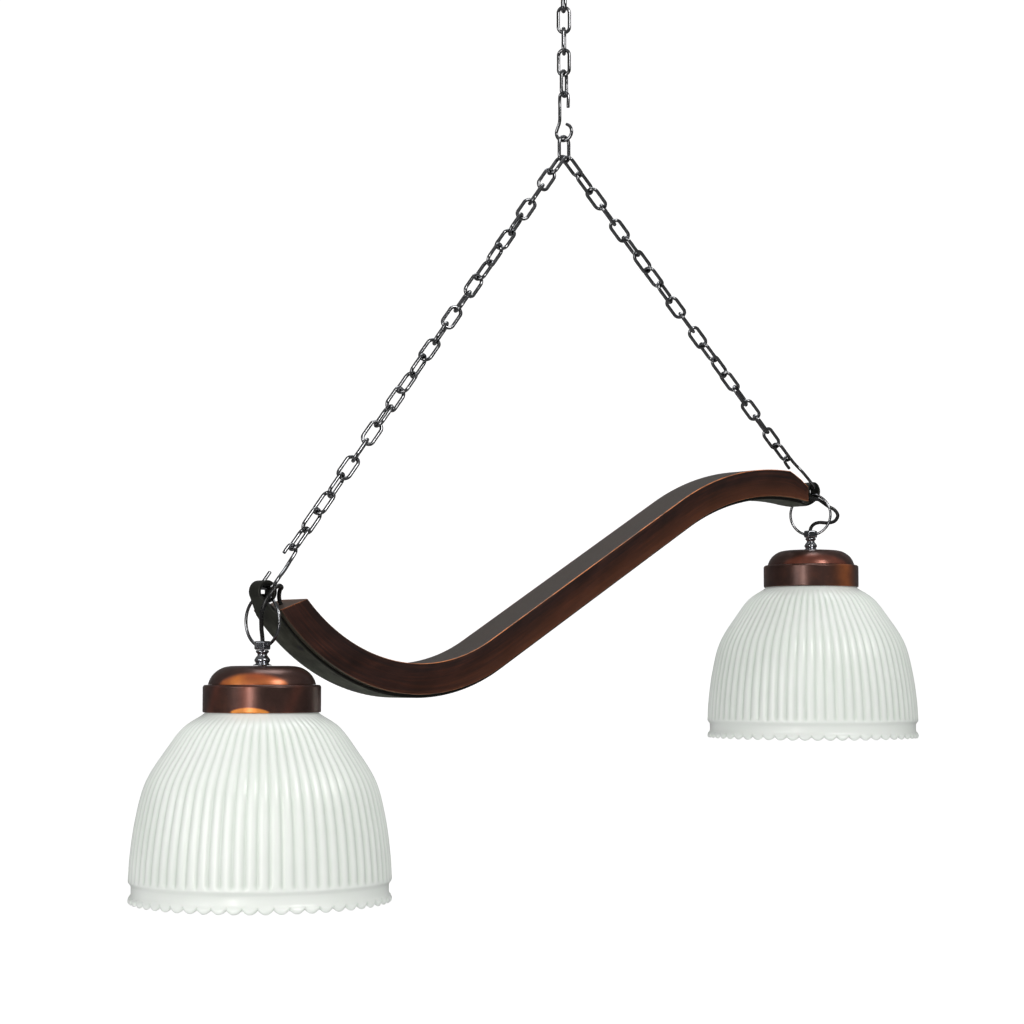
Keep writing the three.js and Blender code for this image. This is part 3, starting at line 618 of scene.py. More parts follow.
def wood_material():
    """Dark stained wood: grain along the beam, a painted grey reflection on faces that look up, a painted olive
    reflection on faces that look down, orange on rubbed edges, a lighter orange towards the lower faces and an orange
    line along the top edges.
    """
    m, t, s = node_material("stained_wood")
    run = node(t, "UVMap", uv_map="run").outputs[0]

    def along_grain(length, width):
        return node(t, "Mapping", {"Vector": run, "Scale": (length, width, width)}).outputs[0]

    warp = noise(t, along_grain(7, 30), 1.0, 5.0, Roughness=0.6)
    streak = noise(t, along_grain(14, 420), 1.0, 6.0, Roughness=0.62, Distortion=0.35)
    pores = noise(t, along_grain(90, 1500), 1.0, 2.0)
    cloud = noise(t, run, 26.0, 4.0, Roughness=0.55)
    base = ramp(t, streak, [(0.3, (0.011, 0.0042, 0.0034)), (0.5, (0.026, 0.0078, 0.0045)),
                            (0.68, (0.052, 0.0145, 0.0062))])
    for share, source, stops in (
        (1.0, cloud, [(0.32, (0.42,)), (0.7, (1.15,))]),
        (0.8, warp, [(0.35, (0.9, 0.95, 1.1)), (0.65, (1.25, 1.0, 0.8))]),
        (0.6, pores, [(0.34, (0.4,)), (0.45, (1.0,))]),
    ):
        base = mix_colour(t, share, base, ramp(t, source, stops), "MULTIPLY")
    # lighter orange towards the lower faces, where warm_strip says
    lower_orange = mix_colour(t, streak, (0.075, 0.019, 0.006), (0.16, 0.046, 0.012))
    base = mix_colour(t, warm_strip(t), base, lower_orange)
    upright = facing(t, "Z")
    # painted reflection: faces that look up turn grey
    above = remap(t, upright, (0.35, 0.8), (0.0, 0.75))
    base = mix_colour(t, above, base, (0.070, 0.062, 0.055))
    # painted reflection: faces that look down turn olive grey
    below = remap(t, upright, (-0.35, -0.8), (0.0, 0.7))
    base = mix_colour(t, below, base, (0.075, 0.078, 0.060))
    worn = edges(t, 0.0016, 0.03, 0.16)
    patch = ramp(t, noise(t, run, 45.0, 5.0), [(0.34, (0.25,)), (0.58, (1,))])
    base = mix_colour(t, maths(t, "MULTIPLY", worn, patch), base, (0.40, 0.12, 0.032))
    past_bend = remap(t, stored(t, "face"), (0.10, 0.2), (0.15, 1.0))
    # an orange line along the top edges, faint on the near lower edge, from a little way along the beam on
    line = maths(t, "MULTIPLY", maths(t, "MULTIPLY", stored(t, "top_edge_line"), past_bend), patch, True)
    base = mix_colour(t, line, base, (0.62, 0.20, 0.06))
    height = maths(t, "ADD", maths(t, "MULTIPLY", streak, 0.5), maths(t, "MULTIPLY", pores, 0.5))
    fill(t, s, {
        "Base Color": base,
        "Roughness": remap(t, cloud, target=(0.36, 0.50)),
        "Coat Weight": 0.12,
        "Coat Roughness": 0.36,
        "Specular IOR Level": 0.38,
        "Normal": bump(t, height, 0.22, 0.0004),
    })
    return m


def strap_material():
    """Rolled steel: blotchy olive on its faces, with painted shade turning its sides and its scroll ends near black.
    """
    m, t, s = node_material("strap_steel")
    mill = noise(t, coords(t, (40, 900, 40)), 1.0, 5.0)
    blotch = noise(t, coords(t), 60.0, 6.0, Roughness=0.65)
    base = ramp(t, blotch, [(0.3, (0.050, 0.052, 0.038)), (0.55, (0.105, 0.110, 0.082)),
                            (0.75, (0.16, 0.165, 0.128))])
    # painted shade: faces that look sideways, the strap's edges, turn near black
    side_shade = remap(t, maths(t, "ABSOLUTE", facing(t, "Y")), (0.5, 0.8))
    # painted shade on the scrolls at both ends, taken with the side shade wherever it is darker
    dark = maths(t, "MAXIMUM", side_shade, maths(t, "MULTIPLY", stored(t, "curl"), 0.85), True)
    fill(t, s, {
        "Base Color": mix_colour(t, dark, base, (0.012, 0.012, 0.010)),
        "Metallic": 0.45,
        "Roughness": remap(t, mill, target=(0.36, 0.6)),
        "Normal": bump(t, mill, 0.15, 0.0002),
    })
    return m


def copper_material(name):
    """Antique copper: purple-brown lacquer with painted orange highlights and reflections on the crown's foot and
    round the collar, and rubbed to orange on the sharp rims.
    """
    m, t, s = node_material(name)
    at = node(t, "TexCoord").outputs["Object"]
    p = node(t, "SeparateXYZ", {"Vector": at}).outputs
    turn = maths(t, "ARCTAN2", p["Y"], p["X"])
    level = node(t, "CombineXYZ", {"X": p["X"], "Y": p["Y"]}).outputs[0]
    radius = node(t, "VectorMath", {0: level}, operation="LENGTH").outputs["Value"]
    round_axis = node(t, "CombineXYZ", {
        "X": maths(t, "MULTIPLY", turn, 0.6),
        "Y": maths(t, "MULTIPLY", radius, 700.0),
        "Z": maths(t, "MULTIPLY", p["Z"], 900.0),
    }).outputs[0]
    brushed = noise(t, round_axis, 1.0, 4.0, Roughness=0.6)
    blotch = noise(t, at, 42.0, 5.0, Roughness=0.6)
    dark = ramp(t, blotch, [(0.3, (0.060, 0.036, 0.032)), (0.55, (0.105, 0.056, 0.048)),
                            (0.75, (0.18, 0.078, 0.056))])
    base = mix_colour(t, maths(t, "MULTIPLY", brushed, 0.3), dark, (0.24, 0.12, 0.09))
    mottle = ramp(t, blotch, [(0.25, (0.55,)), (0.6, (1.0,))])
    # painted highlight: the stored mask says where it lies and how bright it is; there the copper turns orange and
    # less metallic
    highlight_share = maths(t, "MULTIPLY", stored(t, "painted_highlight", "X"), mottle, True)
    highlight_colour = mix_colour(t, stored(t, "painted_highlight", "Y"), (0.34, 0.060, 0.018), (0.92, 0.31, 0.045))
    base = mix_colour(t, highlight_share, base, highlight_colour)
    rim = maths(t, "MULTIPLY", edges(t, 0.0008, 0.03, 0.25), 0.35)
    fill(t, s, {
        "Base Color": mix_colour(t, rim, base, (0.75, 0.30, 0.12)),
        "Metallic": remap(t, highlight_share, target=(0.85, 0.30)),
        "Roughness": remap(t, brushed, target=(0.25, 0.38)),
        "Coat Weight": 0.25,
        "Coat Roughness": 0.22,
        "Normal": bump(t, brushed, 0.06),
    })
    return m


def shade_material():
    """Satin glass: white on the ribs, with painted shade, darker and greener, in the valleys between them and in the
    notches of the lip.
    """
    m, t, s = node_material("satin_glass")
    v = coords(t)
    fine = noise(t, v, 1400.0, 3.0)
    cloud = noise(t, v, 18.0, 3.0)
    # painted shade: darker, greener colour for the rib valleys and the lip's notches
    valley_shade = ramp(t, cloud, [(0.3, (0.66, 0.72, 0.66)), (0.7, (0.70, 0.755, 0.70))])
    ridge = ramp(t, cloud, [(0.3, (0.79, 0.835, 0.79)), (0.7, (0.83, 0.87, 0.83))])
    rib = ramp(t, stored(t, "rib"), [(0.25, (0,)), (0.95, (1,))])
    fill(t, s, {
        "Base Color": mix_colour(t, rib, valley_shade, ridge),
        "Roughness": remap(t, fine, target=(0.30, 0.48)),
        "Subsurface Weight": 0.25,
        "Subsurface Radius": (0.006, 0.0068, 0.006),
        "Subsurface Scale": 1.0,
        "Transmission Weight": 0.12,
        "IOR": 1.5,
        "Coat Weight": 0.5,
        "Coat Roughness": 0.2,
        "Normal": bump(t, fine, 0.10),
    })
    return m


def cable_material():
    m, t, s = node_material("cable_sheath")
    fine = noise(t, coords(t), 600.0, 3.0)
    fill(t, s, {
        "Base Color": ramp(t, fine, [(0.3, (0.004, 0.004, 0.004)), (0.8, (0.016, 0.016, 0.016))]),
        "Roughness": remap(t, fine, target=(0.18, 0.34)),
        "Normal": bump(t, fine, 0.08),
    })
    return m


def plain_material(name, low, high, rough, metallic=0.0, transmission=0.0, coat=0.0):
    m, t, s = node_material(name)
    fine = noise(t, coords(t), 300.0, 4.0)
    fill(t, s, {
        "Base Color": ramp(t, fine, [(0.3, low), (0.7, high)]),
        "Metallic": metallic,
        "Transmission Weight": transmission,
        "Coat Weight": coat,
        "Roughness": remap(t, fine, target=(rough * 0.8, rough * 1.25)),
        "Normal": bump(t, fine, 0.08),
    })
    return m


MAT = {
    "black_nickel": plated("black_nickel", (0.25, 0.255, 0.265), 0.11, (0.42, 0.42, 0.44)),
    "gunmetal": plated("gunmetal", (0.40, 0.41, 0.44), 0.12, (0.62, 0.63, 0.66)),
    "zinc": plated("zinc", (0.075, 0.078, 0.08), 0.34, (0.14, 0.14, 0.14)),
    "wood": wood_material(),
    "strap": strap_material(),
    "copper": copper_material("antique_copper"),
    "glass": shade_material(),
    "cable": cable_material(),
    "brass": plain_material("brass", (0.42, 0.27, 0.07), (0.62, 0.43, 0.13), 0.35, metallic=1.0),
    "porcelain": plain_material("porcelain", (0.70, 0.67, 0.60), (0.80, 0.78, 0.72), 0.16, coat=0.6),
    "opal": plain_material("opal_bulb", (0.80, 0.77, 0.68), (0.90, 0.87, 0.80), 0.22, transmission=0.12),
}


def finish_piece(obj, body, slot, solid):
    """Gives a piece its look and its body, and puts it in place of the CAD solid."""
    obj.data.materials.clear()
    obj.data.materials.append(MAT[slot])
    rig.ride(obj, body)
    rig.replaces(obj, solid)
    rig.slot(obj, slot)


# ---------- chain links ----------
def link_mesh(name, inner_r, inner_length):
    """Oval link in the X-Z plane, with the slight seam of a butt weld on one long side."""
    r = inner_r + LINK_WIRE_R
    half = inner_length / 2 - inner_r
    line = []
    for up in (1, -1):
        for i in range(15):
            a = math.pi * i / 14
            line.append((up * r * math.cos(a), 0, up * (half + r * math.sin(a))))
        if half > 0.6:
            for k in (1, 2, 3, 4, 5):
                line.append((-up * r, 0, up * half * (1 - k / 3)))

    def seam(at):
        return LINK_WIRE_R * (0.965 if at[0] > 0 and abs(at[2]) < 0.3 else 1.0)

    return tube(name, line, LINK_WIRE_R, 14, closed=True, radius_at=seam)


for i in range(TOP_LINKS):
    o = link_mesh(f"top_chain_link_{i + 1}", LINK_INNER_R, top_inner)
    yaw = APEX_HOOK_YAW + (TOP_LINKS - 1 - i) * (90 + TOP_TWIST)
    transform(o, Matrix.Translation((0, 0, first_top_z - i * LINK_PITCH)) @ turn_z(yaw))
    finish_piece(o, "top_chain_upper" if i == 0 else "top_chain", "black_nickel", f"top_link_{i + 1}")

apex = link_mesh("wide_link", APEX_INNER_R, top_inner)
transform(apex, Matrix.Translation((0, 0, (apex_upper + apex_lower) / 2)))
finish_piece(apex, "frame", "black_nickel", "apex_link")


# ---------- hooks ----------
def apex_hook_line():
    out = []
    for a in range(72, -209, -20):
        out.append((HOOK_LOOP_R * cos(a), 0, HOOK_LOOP_R + HOOK_LOOP_R * sin(a)))
    out.append((-HOOK_EYE_R - 0.4, 0, HOOK_LOOP_R * 2 + 2))
    out.append((-HOOK_EYE_R, 0, HOOK_LENGTH - 20))
    c = HOOK_LENGTH - HOOK_EYE_R
    for a in range(180, -1, -30):
        out.append((HOOK_EYE_R * cos(a), 0, c + HOOK_EYE_R * sin(a)))
    out.append((HOOK_EYE_R, 0, c - 12))
    return out


hook = tube("s_hook_top", catmull(apex_hook_line()), HOOK_WIRE_R, 16, cap=0.5)
transform(hook, Matrix.Translation((0, 0, apex_hook_bottom)) @ turn_z(APEX_HOOK_YAW - 90))
finish_piece(hook, "apex_hook", "black_nickel", "apex_hook")


def side_hook_line():
    w, c = 10.4, 4.5
    out = [(0, w, 20), (0, w, 12), (0, w, c)]
    out += [(0, w - c + c * cos(a), c + c * sin(a)) for a in (-30, -60, -90)]
    out += [(0, c - w + c * cos(a), c + c * sin(a)) for a in (-90, -120, -150, -180)]
    out += [(0, -w, 12), (HOOK_EYE_R * 0.5, -w * 0.62, 24), (HOOK_EYE_R, -1, HOOK_LENGTH - 16)]
    top = HOOK_LENGTH - HOOK_EYE_R
    out += [(HOOK_EYE_R * cos(a), 0, top + HOOK_EYE_R * sin(a)) for a in range(0, 181, 30)]
    out.append((-HOOK_EYE_R, 0, top - 8))
    return out


def side(name, scroll, seat_x, links, twist):
    """One side: the hook in the scroll, and the run of links up to the wide link."""
    seat = Vector((seat_x, 0, apex_lower + SEAT_Z))
    along = (seat - scroll).normalized()
    h = tube(f"s_hook_{name}", catmull(side_hook_line()), HOOK_WIRE_R, 16, cap=0.5)
    transform(h, frame_at(scroll + along * hook_wire_at, along, 0))
    finish_piece(h, "frame", "black_nickel", f"{name}_hook")
    run = []
    for i in range(links):
        at = scroll + along * (last_link_inner + (i + 0.5) * LINK_PITCH)
        o = link_mesh(f"{name}_link_{i}", LINK_INNER_R, LINK_PITCH - 0.12)
        transform(o, frame_at(at, along, (links - 1 - i) * (90 + twist)) @ turn_z(90))
        run.append(o)
    chain = merge(f"{name}_chain_links", run)
    finish_piece(chain, "frame", "black_nickel", f"{name}_chain")


side("left", LEFT_C, -SEAT_X, LEFT_LINKS, LEFT_TWIST)
side("right", RIGHT_C, SEAT_X, RIGHT_LINKS, RIGHT_TWIST)

# ---------- ceiling fitting ----------
plate = lathe("ceiling_rose", rounded([
    (0, -1), (3.3, -1), (3.3, -PLATE_T), (PLATE_R - 3, -PLATE_T), (PLATE_R, -1.6), (PLATE_R, 0), (0, 0),
], 0.35, closed=False)[:-1] + [(0, 0)], 96, closed=False)
finish_piece(plate, "ceiling", "gunmetal", "ceiling_plate")
loop_c = ceiling_wire_z + CEILING_LOOP_R
loop = [(0, 0, -8), (0, 0, loop_c + CEILING_LOOP_R + 10), (0, 0, loop_c + CEILING_LOOP_R + 6)]
for a in np.arange(112, -170.1, -23.5):
    loop.append((-CEILING_LOOP_R * cos(a), 0, loop_c + CEILING_LOOP_R * sin(a)))
eye = tube("screw_hook", catmull(loop), CEILING_WIRE_R, 18, cap=0.8)
stem_foot = ceiling_wire_z + 2 * CEILING_LOOP_R + 4.2
thread = [(2.95 if k % 2 else 2.7, -2.4 - 0.55 * k) for k in range(16)]
stem = lathe("screw_hook_stem", [
    (0, -1.4), (2.2, -1.4), (2.8, -2.0), *thread, (2.9, -12), (2.6, stem_foot), (0, stem_foot),
], 32, closed=False)
screw_hook = merge("screw_hook_whole", [eye, stem])
transform(screw_hook, turn_z(-35))
finish_piece(screw_hook, "ceiling", "black_nickel", "ceiling_hook")


# ---------- the wooden beam ----------
def skin(count, m):
    """Faces between `count` rows of m points each, closed at both ends."""
    faces = []
    for i in range(count - 1):
        for k in range(m):
            a, b = i * m + k, i * m + (k + 1) % m
            faces.append((a, b, b + m, a + m))
    faces.append(tuple(reversed(range(m))))
    faces.append(tuple((count - 1) * m + k for k in range(m)))
    return faces


def wood_outline():
    """The beam's side view: its under face, its blunt right end and its top face."""
    under = offset_line(-BEAM_T / 2, LEFT_UNDER, RIGHT_UNDER)
    top = offset_line(BEAM_T / 2, LEFT_TOP, RIGHT_TOP)
    nose = on_circle(CREST, NOSE_R, NOSE)
    shoulder = top[-1]
    mid = (shoulder[0] * 0.45 + nose[0] * 0.55, shoulder[1] * 0.45 + nose[1] * 0.55 + 2)
    return under, [nose, mid], top


def resample(line, n):
    """The line again as n points at equal distances, and the distances."""
    p = np.array(line)
    d = np.concatenate([[0], np.cumsum(np.linalg.norm(np.diff(p, axis=0), axis=1))])
    s = np.linspace(0, d[-1], n)
    return np.stack([np.interp(s, d, p[:, 0]), np.interp(s, d, p[:, 1])], 1), s


def beam_piece():
    """The beam as rows of section loops, so that its grain runs round the bends with it."""
    under, end, top = wood_outline()
    nose, mid, shoulder = np.array(end[0]), np.array(end[1]), np.array(top[-1])
    n = 150
    lower, s = resample(under, n)
    upper_main, _ = resample(top, n - 10)
    tail = [shoulder * (1 - k / 10) + mid * (k / 10) for k in range(1, 6)]
    tail += [mid * (1 - k / 5) + nose * (k / 5) for k in range(1, 6)]
    upper = np.vstack([upper_main, np.array(tail)])
    half = BEAM_W / 2
    r = 1.15  # of the long edges
    corner = [0, 22.5, 45, 67.5, 90]
    points, uv_run, uv_face, uv_top_edge_line = [], [], [], []
    deep = 2 * GROOVE_LIFT

    def ring(i):
        lo, hi = lower[i], upper[i]
        d = hi - lo
        t = np.linalg.norm(d)
        d = d / t
        out = []

        def put(y, h, top_edge_line=0.0):
            p = lo + d * h
            out.append((p[0], y, p[1], h / t, top_edge_line))

        # share of the orange line: 1 on both top edges, a quarter on the near lower edge
        for a in reversed(corner):
            put(-half + r * (1 - sin(a)), t - r * (1 - cos(a)), 1.0 if 0 < a < 90 else 0.0)
        for y in (-half * 0.5, 0, half * 0.5):
            put(y, t)
        for a in corner:
            put(half - r * (1 - sin(a)), t - r * (1 - cos(a)), 1.0 if 0 < a < 90 else 0.0)
        for a in corner:
            put(half - r * (1 - cos(a)), r * (1 - sin(a)))
        for y, h in ((GROOVE_R, 0), (GROOVE_R, deep), (-GROOVE_R, deep), (-GROOVE_R, 0)):
            put(y, h)
        for a in reversed(corner):
            put(-half + r * (1 - cos(a)), r * (1 - sin(a)), 0.25 if 0 < a < 90 else 0.0)
        return out

    rows = [ring(i) for i in range(n)]
    m = len(rows[0])  # points in a row
    for i, row in enumerate(rows):
        for x, y, z, h, top_edge_line in row:
            points.append(beam_point(x, y, z))
            uv_run.append((s[i] / 1000, y / 1000 + h * 0.030))
            uv_face.append((i / (n - 1), h))
            uv_top_edge_line.append((top_edge_line, 0.5))
    obj = make("bent_beam", points, skin(n, m))
    recalc(obj)
    add_mask(obj, "run", lambda v: uv_run[v])
    add_mask(obj, "face", lambda v: uv_face[v])
    add_mask(obj, "top_edge_line", lambda v: uv_top_edge_line[v])
    return obj


beam = beam_piece()
beam.data.set_sharp_from_angle(angle=math.radians(42))
bevel(beam, 0.9, 3, 55)
finish_piece(beam, "frame", "wood", "wooden_beam")


# ---------- the strap ----------
SCROLL_STEPS = 40


def strap_line():
    """Left scroll, the run under the beam, the riser and the right scroll."""
    out = []
    for i in range(SCROLL_STEPS):
        out.append(on_circle((0, 0), SCROLL_R, left_leave - SCROLL_TURN + SCROLL_TURN * i / SCROLL_STEPS))
    out += offset_line(-(BEAM_T / 2 + GAP + STRAP_T / 2), left_leave, riser_normal)
    start = riser_normal - 180
    for i in range(1, 12):
        out.append(on_circle(riser, RISER_R, start + (RISER_END - start) * i / 12))
    for i in range(SCROLL_STEPS + 1):
        out.append(on_circle(RIGHT_SCROLL, SCROLL_R, RISER_END + SCROLL_TURN * i / SCROLL_STEPS))
    return out


def strap_half_width(x):
    left, right, full = LEFT_SCROLL_W / 2, RIGHT_SCROLL_W / 2, STRAP_W / 2
    xr = RIGHT_SCROLL[0]
    return float(np.interp(x, [-5, 2, xr - 34, xr - 16], [left, full, full, right]))


def strap_piece():
    line = np.array(strap_line())
    n = len(line)
    points = []
    h = STRAP_T / 2
    r = 0.5
    for i in range(n):
        a, b = line[max(i - 1, 0)], line[min(i + 1, n - 1)]
        t = (b - a) / np.linalg.norm(b - a)
        nrm = np.array([-t[1], t[0]])
        w = strap_half_width(line[i][0])
        if i < SCROLL_STEPS:
            w = LEFT_SCROLL_W / 2
        elif i > n - SCROLL_STEPS - 2:
            w = RIGHT_SCROLL_W / 2
        section = [(-w + r, h), (w - r, h), (w, h - r), (w, -h + r)]
        section += [(w - r, -h), (-w + r, -h), (-w, -h + r), (-w, h - r)]
        for y, o in section:
            p = line[i] + nrm * o
            points.append(beam_point(p[0], y, p[1]))
    m = len(section)
    obj = make("rolled_strap", points, skin(n, m))
    recalc(obj)
    # mask for the painted shade on the scrolls: 1 on both scrolls, 0 along the run
    curl_shade_share = np.interp(range(n), [0, 38, 46, n - 48, n - 42, n], [1, 1, 0, 0, 1, 1])
    add_mask(obj, "curl", lambda v: (float(curl_shade_share[v // m]), 0.5))
    obj.data.set_sharp_from_angle(angle=math.radians(40))
    return obj


strap = strap_piece()
finish_piece(strap, "frame", "strap", "steel_strap")


# ---------- cable ----------
def grooved(lift, start, end, step):
    return [beam_point(x, 0, z) for x, z in offset_line(lift, start, end, step, 6)]


def near(centre, points):
    """Points given in millimetres from the middle of a scroll."""
    return [tuple(centre + Vector(p)) for p in points]


left_tail = near(LEFT_C, [
    (0, 0, -84), (0, 0, -60), (0, 0, -44), (-3.5, -3, -32), (-7, -9, -18), (-3.5, -13.6, -5),
    (4.2, -13.6, 3.2),
])
left_start = near(LEFT_C, [(4.9, -13.5, 3.8), (9.4, -12.8, 5.4), (13.8, -10.2, 4)])
left_start += [beam_point(*p) for p in (
    (15, -5.6, -1.5), (15.6, -2.4, -9), (19.4, -0.5, -17.5), (29, 0, -27),
)]
# the loop at the right lamp: distance out from the lamp's axis, and height
right_tail = near(RIGHT_C, [(out * cos(42), -out * sin(42), z) for out, z in (
    (0, -84), (0, -60), (0, -43.5), (4, -38), (10, -36), (20.5, -36.4), (28, -34.2), (31.6, -28), (28, -21.5),
    (20.5, -17.2),
)])
right_tail += near(RIGHT_C, [(8.4, -11.5, -12.9), (2.9, -10.6, -10.1)])
right_start = [beam_point(RIGHT_SCROLL[0] + x, y, RIGHT_SCROLL[1] + z) for x, y, z in (
    (-44, 0, -1.5), (-31, -2, -2.5), (-21, -7.5, -5),
)]
right_start += near(RIGHT_C, [(-9, -10.2, -9.8), (1.3, -10.6, -9.9)])
run_line = left_start + grooved(-BEAM_T / 2 + GROOVE_LIFT, GROOVE_START, GROOVE_END, 6) + right_start


def cable_piece(name, line, body, solid, core=None):
    """A stretch of cable. A tail's thin core runs on into the next stretch, so that a swing shows no gap."""
    pieces = [tube(name, catmull(line), CABLE_R, 16)]
    if core is not None:
        pieces.append(tube(name + "_core", core, CABLE_R * 0.86, 12))
    finish_piece(merge(name + "_whole", pieces), body, "cable", solid)


cable_piece("cable_run", run_line, "frame", "link_cable")
cable_piece("cable_left", left_tail, "left_pendant", "left_cable_tail",
            [left_tail[-1], left_start[0], left_start[1]])
cable_piece("cable_right", right_tail, "right_pendant", "right_cable_tail",
            [right_tail[-1], right_start[-1], *near(RIGHT_C, [(-1.6, -10.5, -9.9)])])


# ---------- lamps ----------
def ring_line():
    """The wire ring, open at its foot."""
    out = []
    for i in range(61):
        a = -90 + RING_GAP / 2 + (360 - RING_GAP) * i / 60
        out.append((RING_R * cos(a), 0, RING_R * sin(a)))
    return out


SHADE_CURVE = [
    (0.2245, 0.006), (0.296, 0.054), (0.362, 0.139), (0.438, 0.262), (0.4755, 0.404), (0.4945, 0.546),
    (0.4994, RIB_END),
]


def smooth_profile(points, steps):
    """Smooth line through [radius, height] pairs that keeps within their outline."""
    line = catmull([(r, 0, z) for r, z in points], steps)
    return [(p[0], p[2]) for p in line]


def shade_piece(name, centre):
    z0 = BAND_BOTTOM - 0.4
    outer = smooth_profile([(r * SHADE_D, z0 - d * SHADE_D) for r, d in SHADE_CURVE], 9)
    segments = RIBS * 12
    # each row: radius, height, share of the rib depth, share of the scallop depth
    rows = [
        (FITTER_HOLE, FITTER_TOP - SHADE_WALL, 0, 0), (FITTER_HOLE, FITTER_TOP, 0, 0),
        (FITTER_R - 4, FITTER_TOP, 0, 0), (FITTER_R - 1.2, FITTER_TOP - 1.2, 0, 0),
        (FITTER_R, FITTER_TOP - 4, 0, 0), (FITTER_R, BAND_BOTTOM - 0.3, 0, 0),
    ]
    for i, (r, z) in enumerate(outer):
        f = i / (len(outer) - 1)
        grow = min(1.0, f * 5)
        end = 1.0 if f < 0.965 else max(0.0, 1 - (f - 0.965) / 0.035)
        rows.append((min(r, 0.5 * SHADE_D), z, grow * end ** 0.5, 0))
    groove = 0.488 * SHADE_D
    top = z0 - RIB_END * SHADE_D
    rows += [
        (0.4985 * SHADE_D, top - 1.0, 0, 0), (0.4945 * SHADE_D, top - 2.4, 0, 0),
        (groove + 0.5, top - 3.7, 0, 0), (groove, top - 5.2, 0, 0), (groove, top - 11.8, 0, 0),
        (groove + 0.5, top - 13.2, 0, 0.1), (groove + 1.5, top - 14.6, 0, 0.3),
        (0.4975 * SHADE_D, top - 15.9, 0, 0.65), (0.5 * SHADE_D, top - 17.2, 0, 0.9),
        (0.5 * SHADE_D, top - 18.6, 0, 1.0), (0.4975 * SHADE_D, top - 20.1, 0, 1.0),
        (0.4925 * SHADE_D, top - 20.6, 0, 1.0), (0.4880 * SHADE_D, top - 19.4, 0, 0.9),
        (0.484 * SHADE_D, top - 16.0, 0, 0.5), (0.474 * SHADE_D, top - 10.0, 0, 0),
    ]
    inner = smooth_profile([(r * SHADE_D, z0 - d * SHADE_D) for r, d in (
        (0.474, 0.66), (0.483, 0.59), (0.466, 0.46), (0.434, 0.31), (0.37, 0.17), (0.29, 0.08), (0.2, 0.0),
    )], 6)
    rows += [(r, z, 0, 0) for r, z in inner[1:]]
    rows.append((FITTER_R - SHADE_WALL, FITTER_TOP - SHADE_WALL - 1, 0, 0))
    points, faces, height = [], [], []
    lip = z0 - SHADE_DEPTH * SHADE_D
    for k in range(segments):
        a = 2 * math.pi * k / segments
        rib = abs(math.sin(a * RIBS / 2)) ** 0.9
        lobe = abs(math.sin(a * SCALLOPS / 2)) ** 0.75
        for r, z, d, w in rows:
            rr = r - RIB_DEPTH * d * (1 - rib) - 1.5 * w * (1 - lobe)
            zz = z
            if w > 0.25:
                zz = max(z + 5.4 * (w - 0.25) * (1 - lobe), lip + 0.15)
            points.append((rr * math.cos(a), rr * math.sin(a), zz))
            # mask for the painted shade: lower in the rib valleys and in the notches of the lip
            height.append(1 - d * (1 - rib) - 0.6 * w * (1 - lobe))
    m = len(rows)
    for k in range(segments):
        a, b = k * m, ((k + 1) % segments) * m
        for i in range(m):
            j = (i + 1) % m
            faces.append((a + i, b + i, b + j, a + j))
    obj = make(name, points, faces)
    recalc(obj)
    obj.data.set_sharp_from_angle(angle=math.radians(60))
    add_mask(obj, "rib", lambda v: (height[v], 0.5))
    transform(obj, Matrix.Translation(centre))
    return obj


def boss_piece(name, yaw):
    """Six-sided boss with its corners turned off, drilled for the cable."""
    wide, worn = BOSS_R * 0.985, BOSS_R * 0.87
    boss = lathe(name, [
        (BORE_R, BOSS_BOTTOM), (worn, BOSS_BOTTOM), (wide, BOSS_BOTTOM + 0.9), (wide, BOSS_TOP - 0.9),
        (worn, BOSS_TOP), (BORE_R, BOSS_TOP),
    ], 6)
    boss.data.polygons.foreach_set("use_smooth", [False] * len(boss.data.polygons))
    transform(boss, turn_z(yaw))
    return bevel(boss, 0.35, 3, 20)


def painted_highlight_map(obj, centre, rule):
    """Stores at each point how strong the painted highlight is, and how bright its orange is."""

    def at_vertex(index):
        p = obj.data.vertices[index].co * 1000 - centre
        return rule(p.z, math.degrees(math.atan2(p.y, p.x)))

    add_mask(obj, "painted_highlight", at_vertex)


def neck_piece(name):
    z = NECK_TOP
    outer = smooth_profile([
        (5.3, z), (6.0, z - 1.0), (6.0, z - 1.9), (4.7, z - 3.3), (4.5, z - 4.6), (5.6, z - 6.2),
        (7.1, z - 8.4), (7.2, z - 10.0), (6.0, z - 11.9), (6.6, z - 12.9), (8.6, z - 13.6),
        (8.6, NECK_BOTTOM),
    ], 5)
    bore = [(NIPPLE_R, NECK_BOTTOM), (NIPPLE_R, NIPPLE_TOP), (BORE_R, NIPPLE_TOP)]
    neck = lathe(name, [(BORE_R, z), *outer, *bore], 64)
    neck.data.set_sharp_from_angle(angle=math.radians(40))
    return neck


def crown_piece(name):
    top = CROWN_TOP
    outside = smooth_profile([
        (24, top - 0.05), (29.5, top - 0.35), (35, top - 1.4), (40, top - 3.8), (44.6, top - 7.6),
        (47.6, top - 12), (49.0, top - 15.5), (CROWN_R, CROWN_BOTTOM),
    ], 6)
    inside = smooth_profile([
        (CROWN_R - CROWN_WALL, CROWN_BOTTOM), (46.4, top - 12.2), (43.2, top - 8.4), (38.8, top - 5.0),
        (34.5, top - 2.8), (28.8, top - 1.6), (24, top - CROWN_WALL),
    ], 4)
    return lathe(name, [(NIPPLE_R, top), *outside, *inside, (NIPPLE_R, top - CROWN_WALL)], 128)


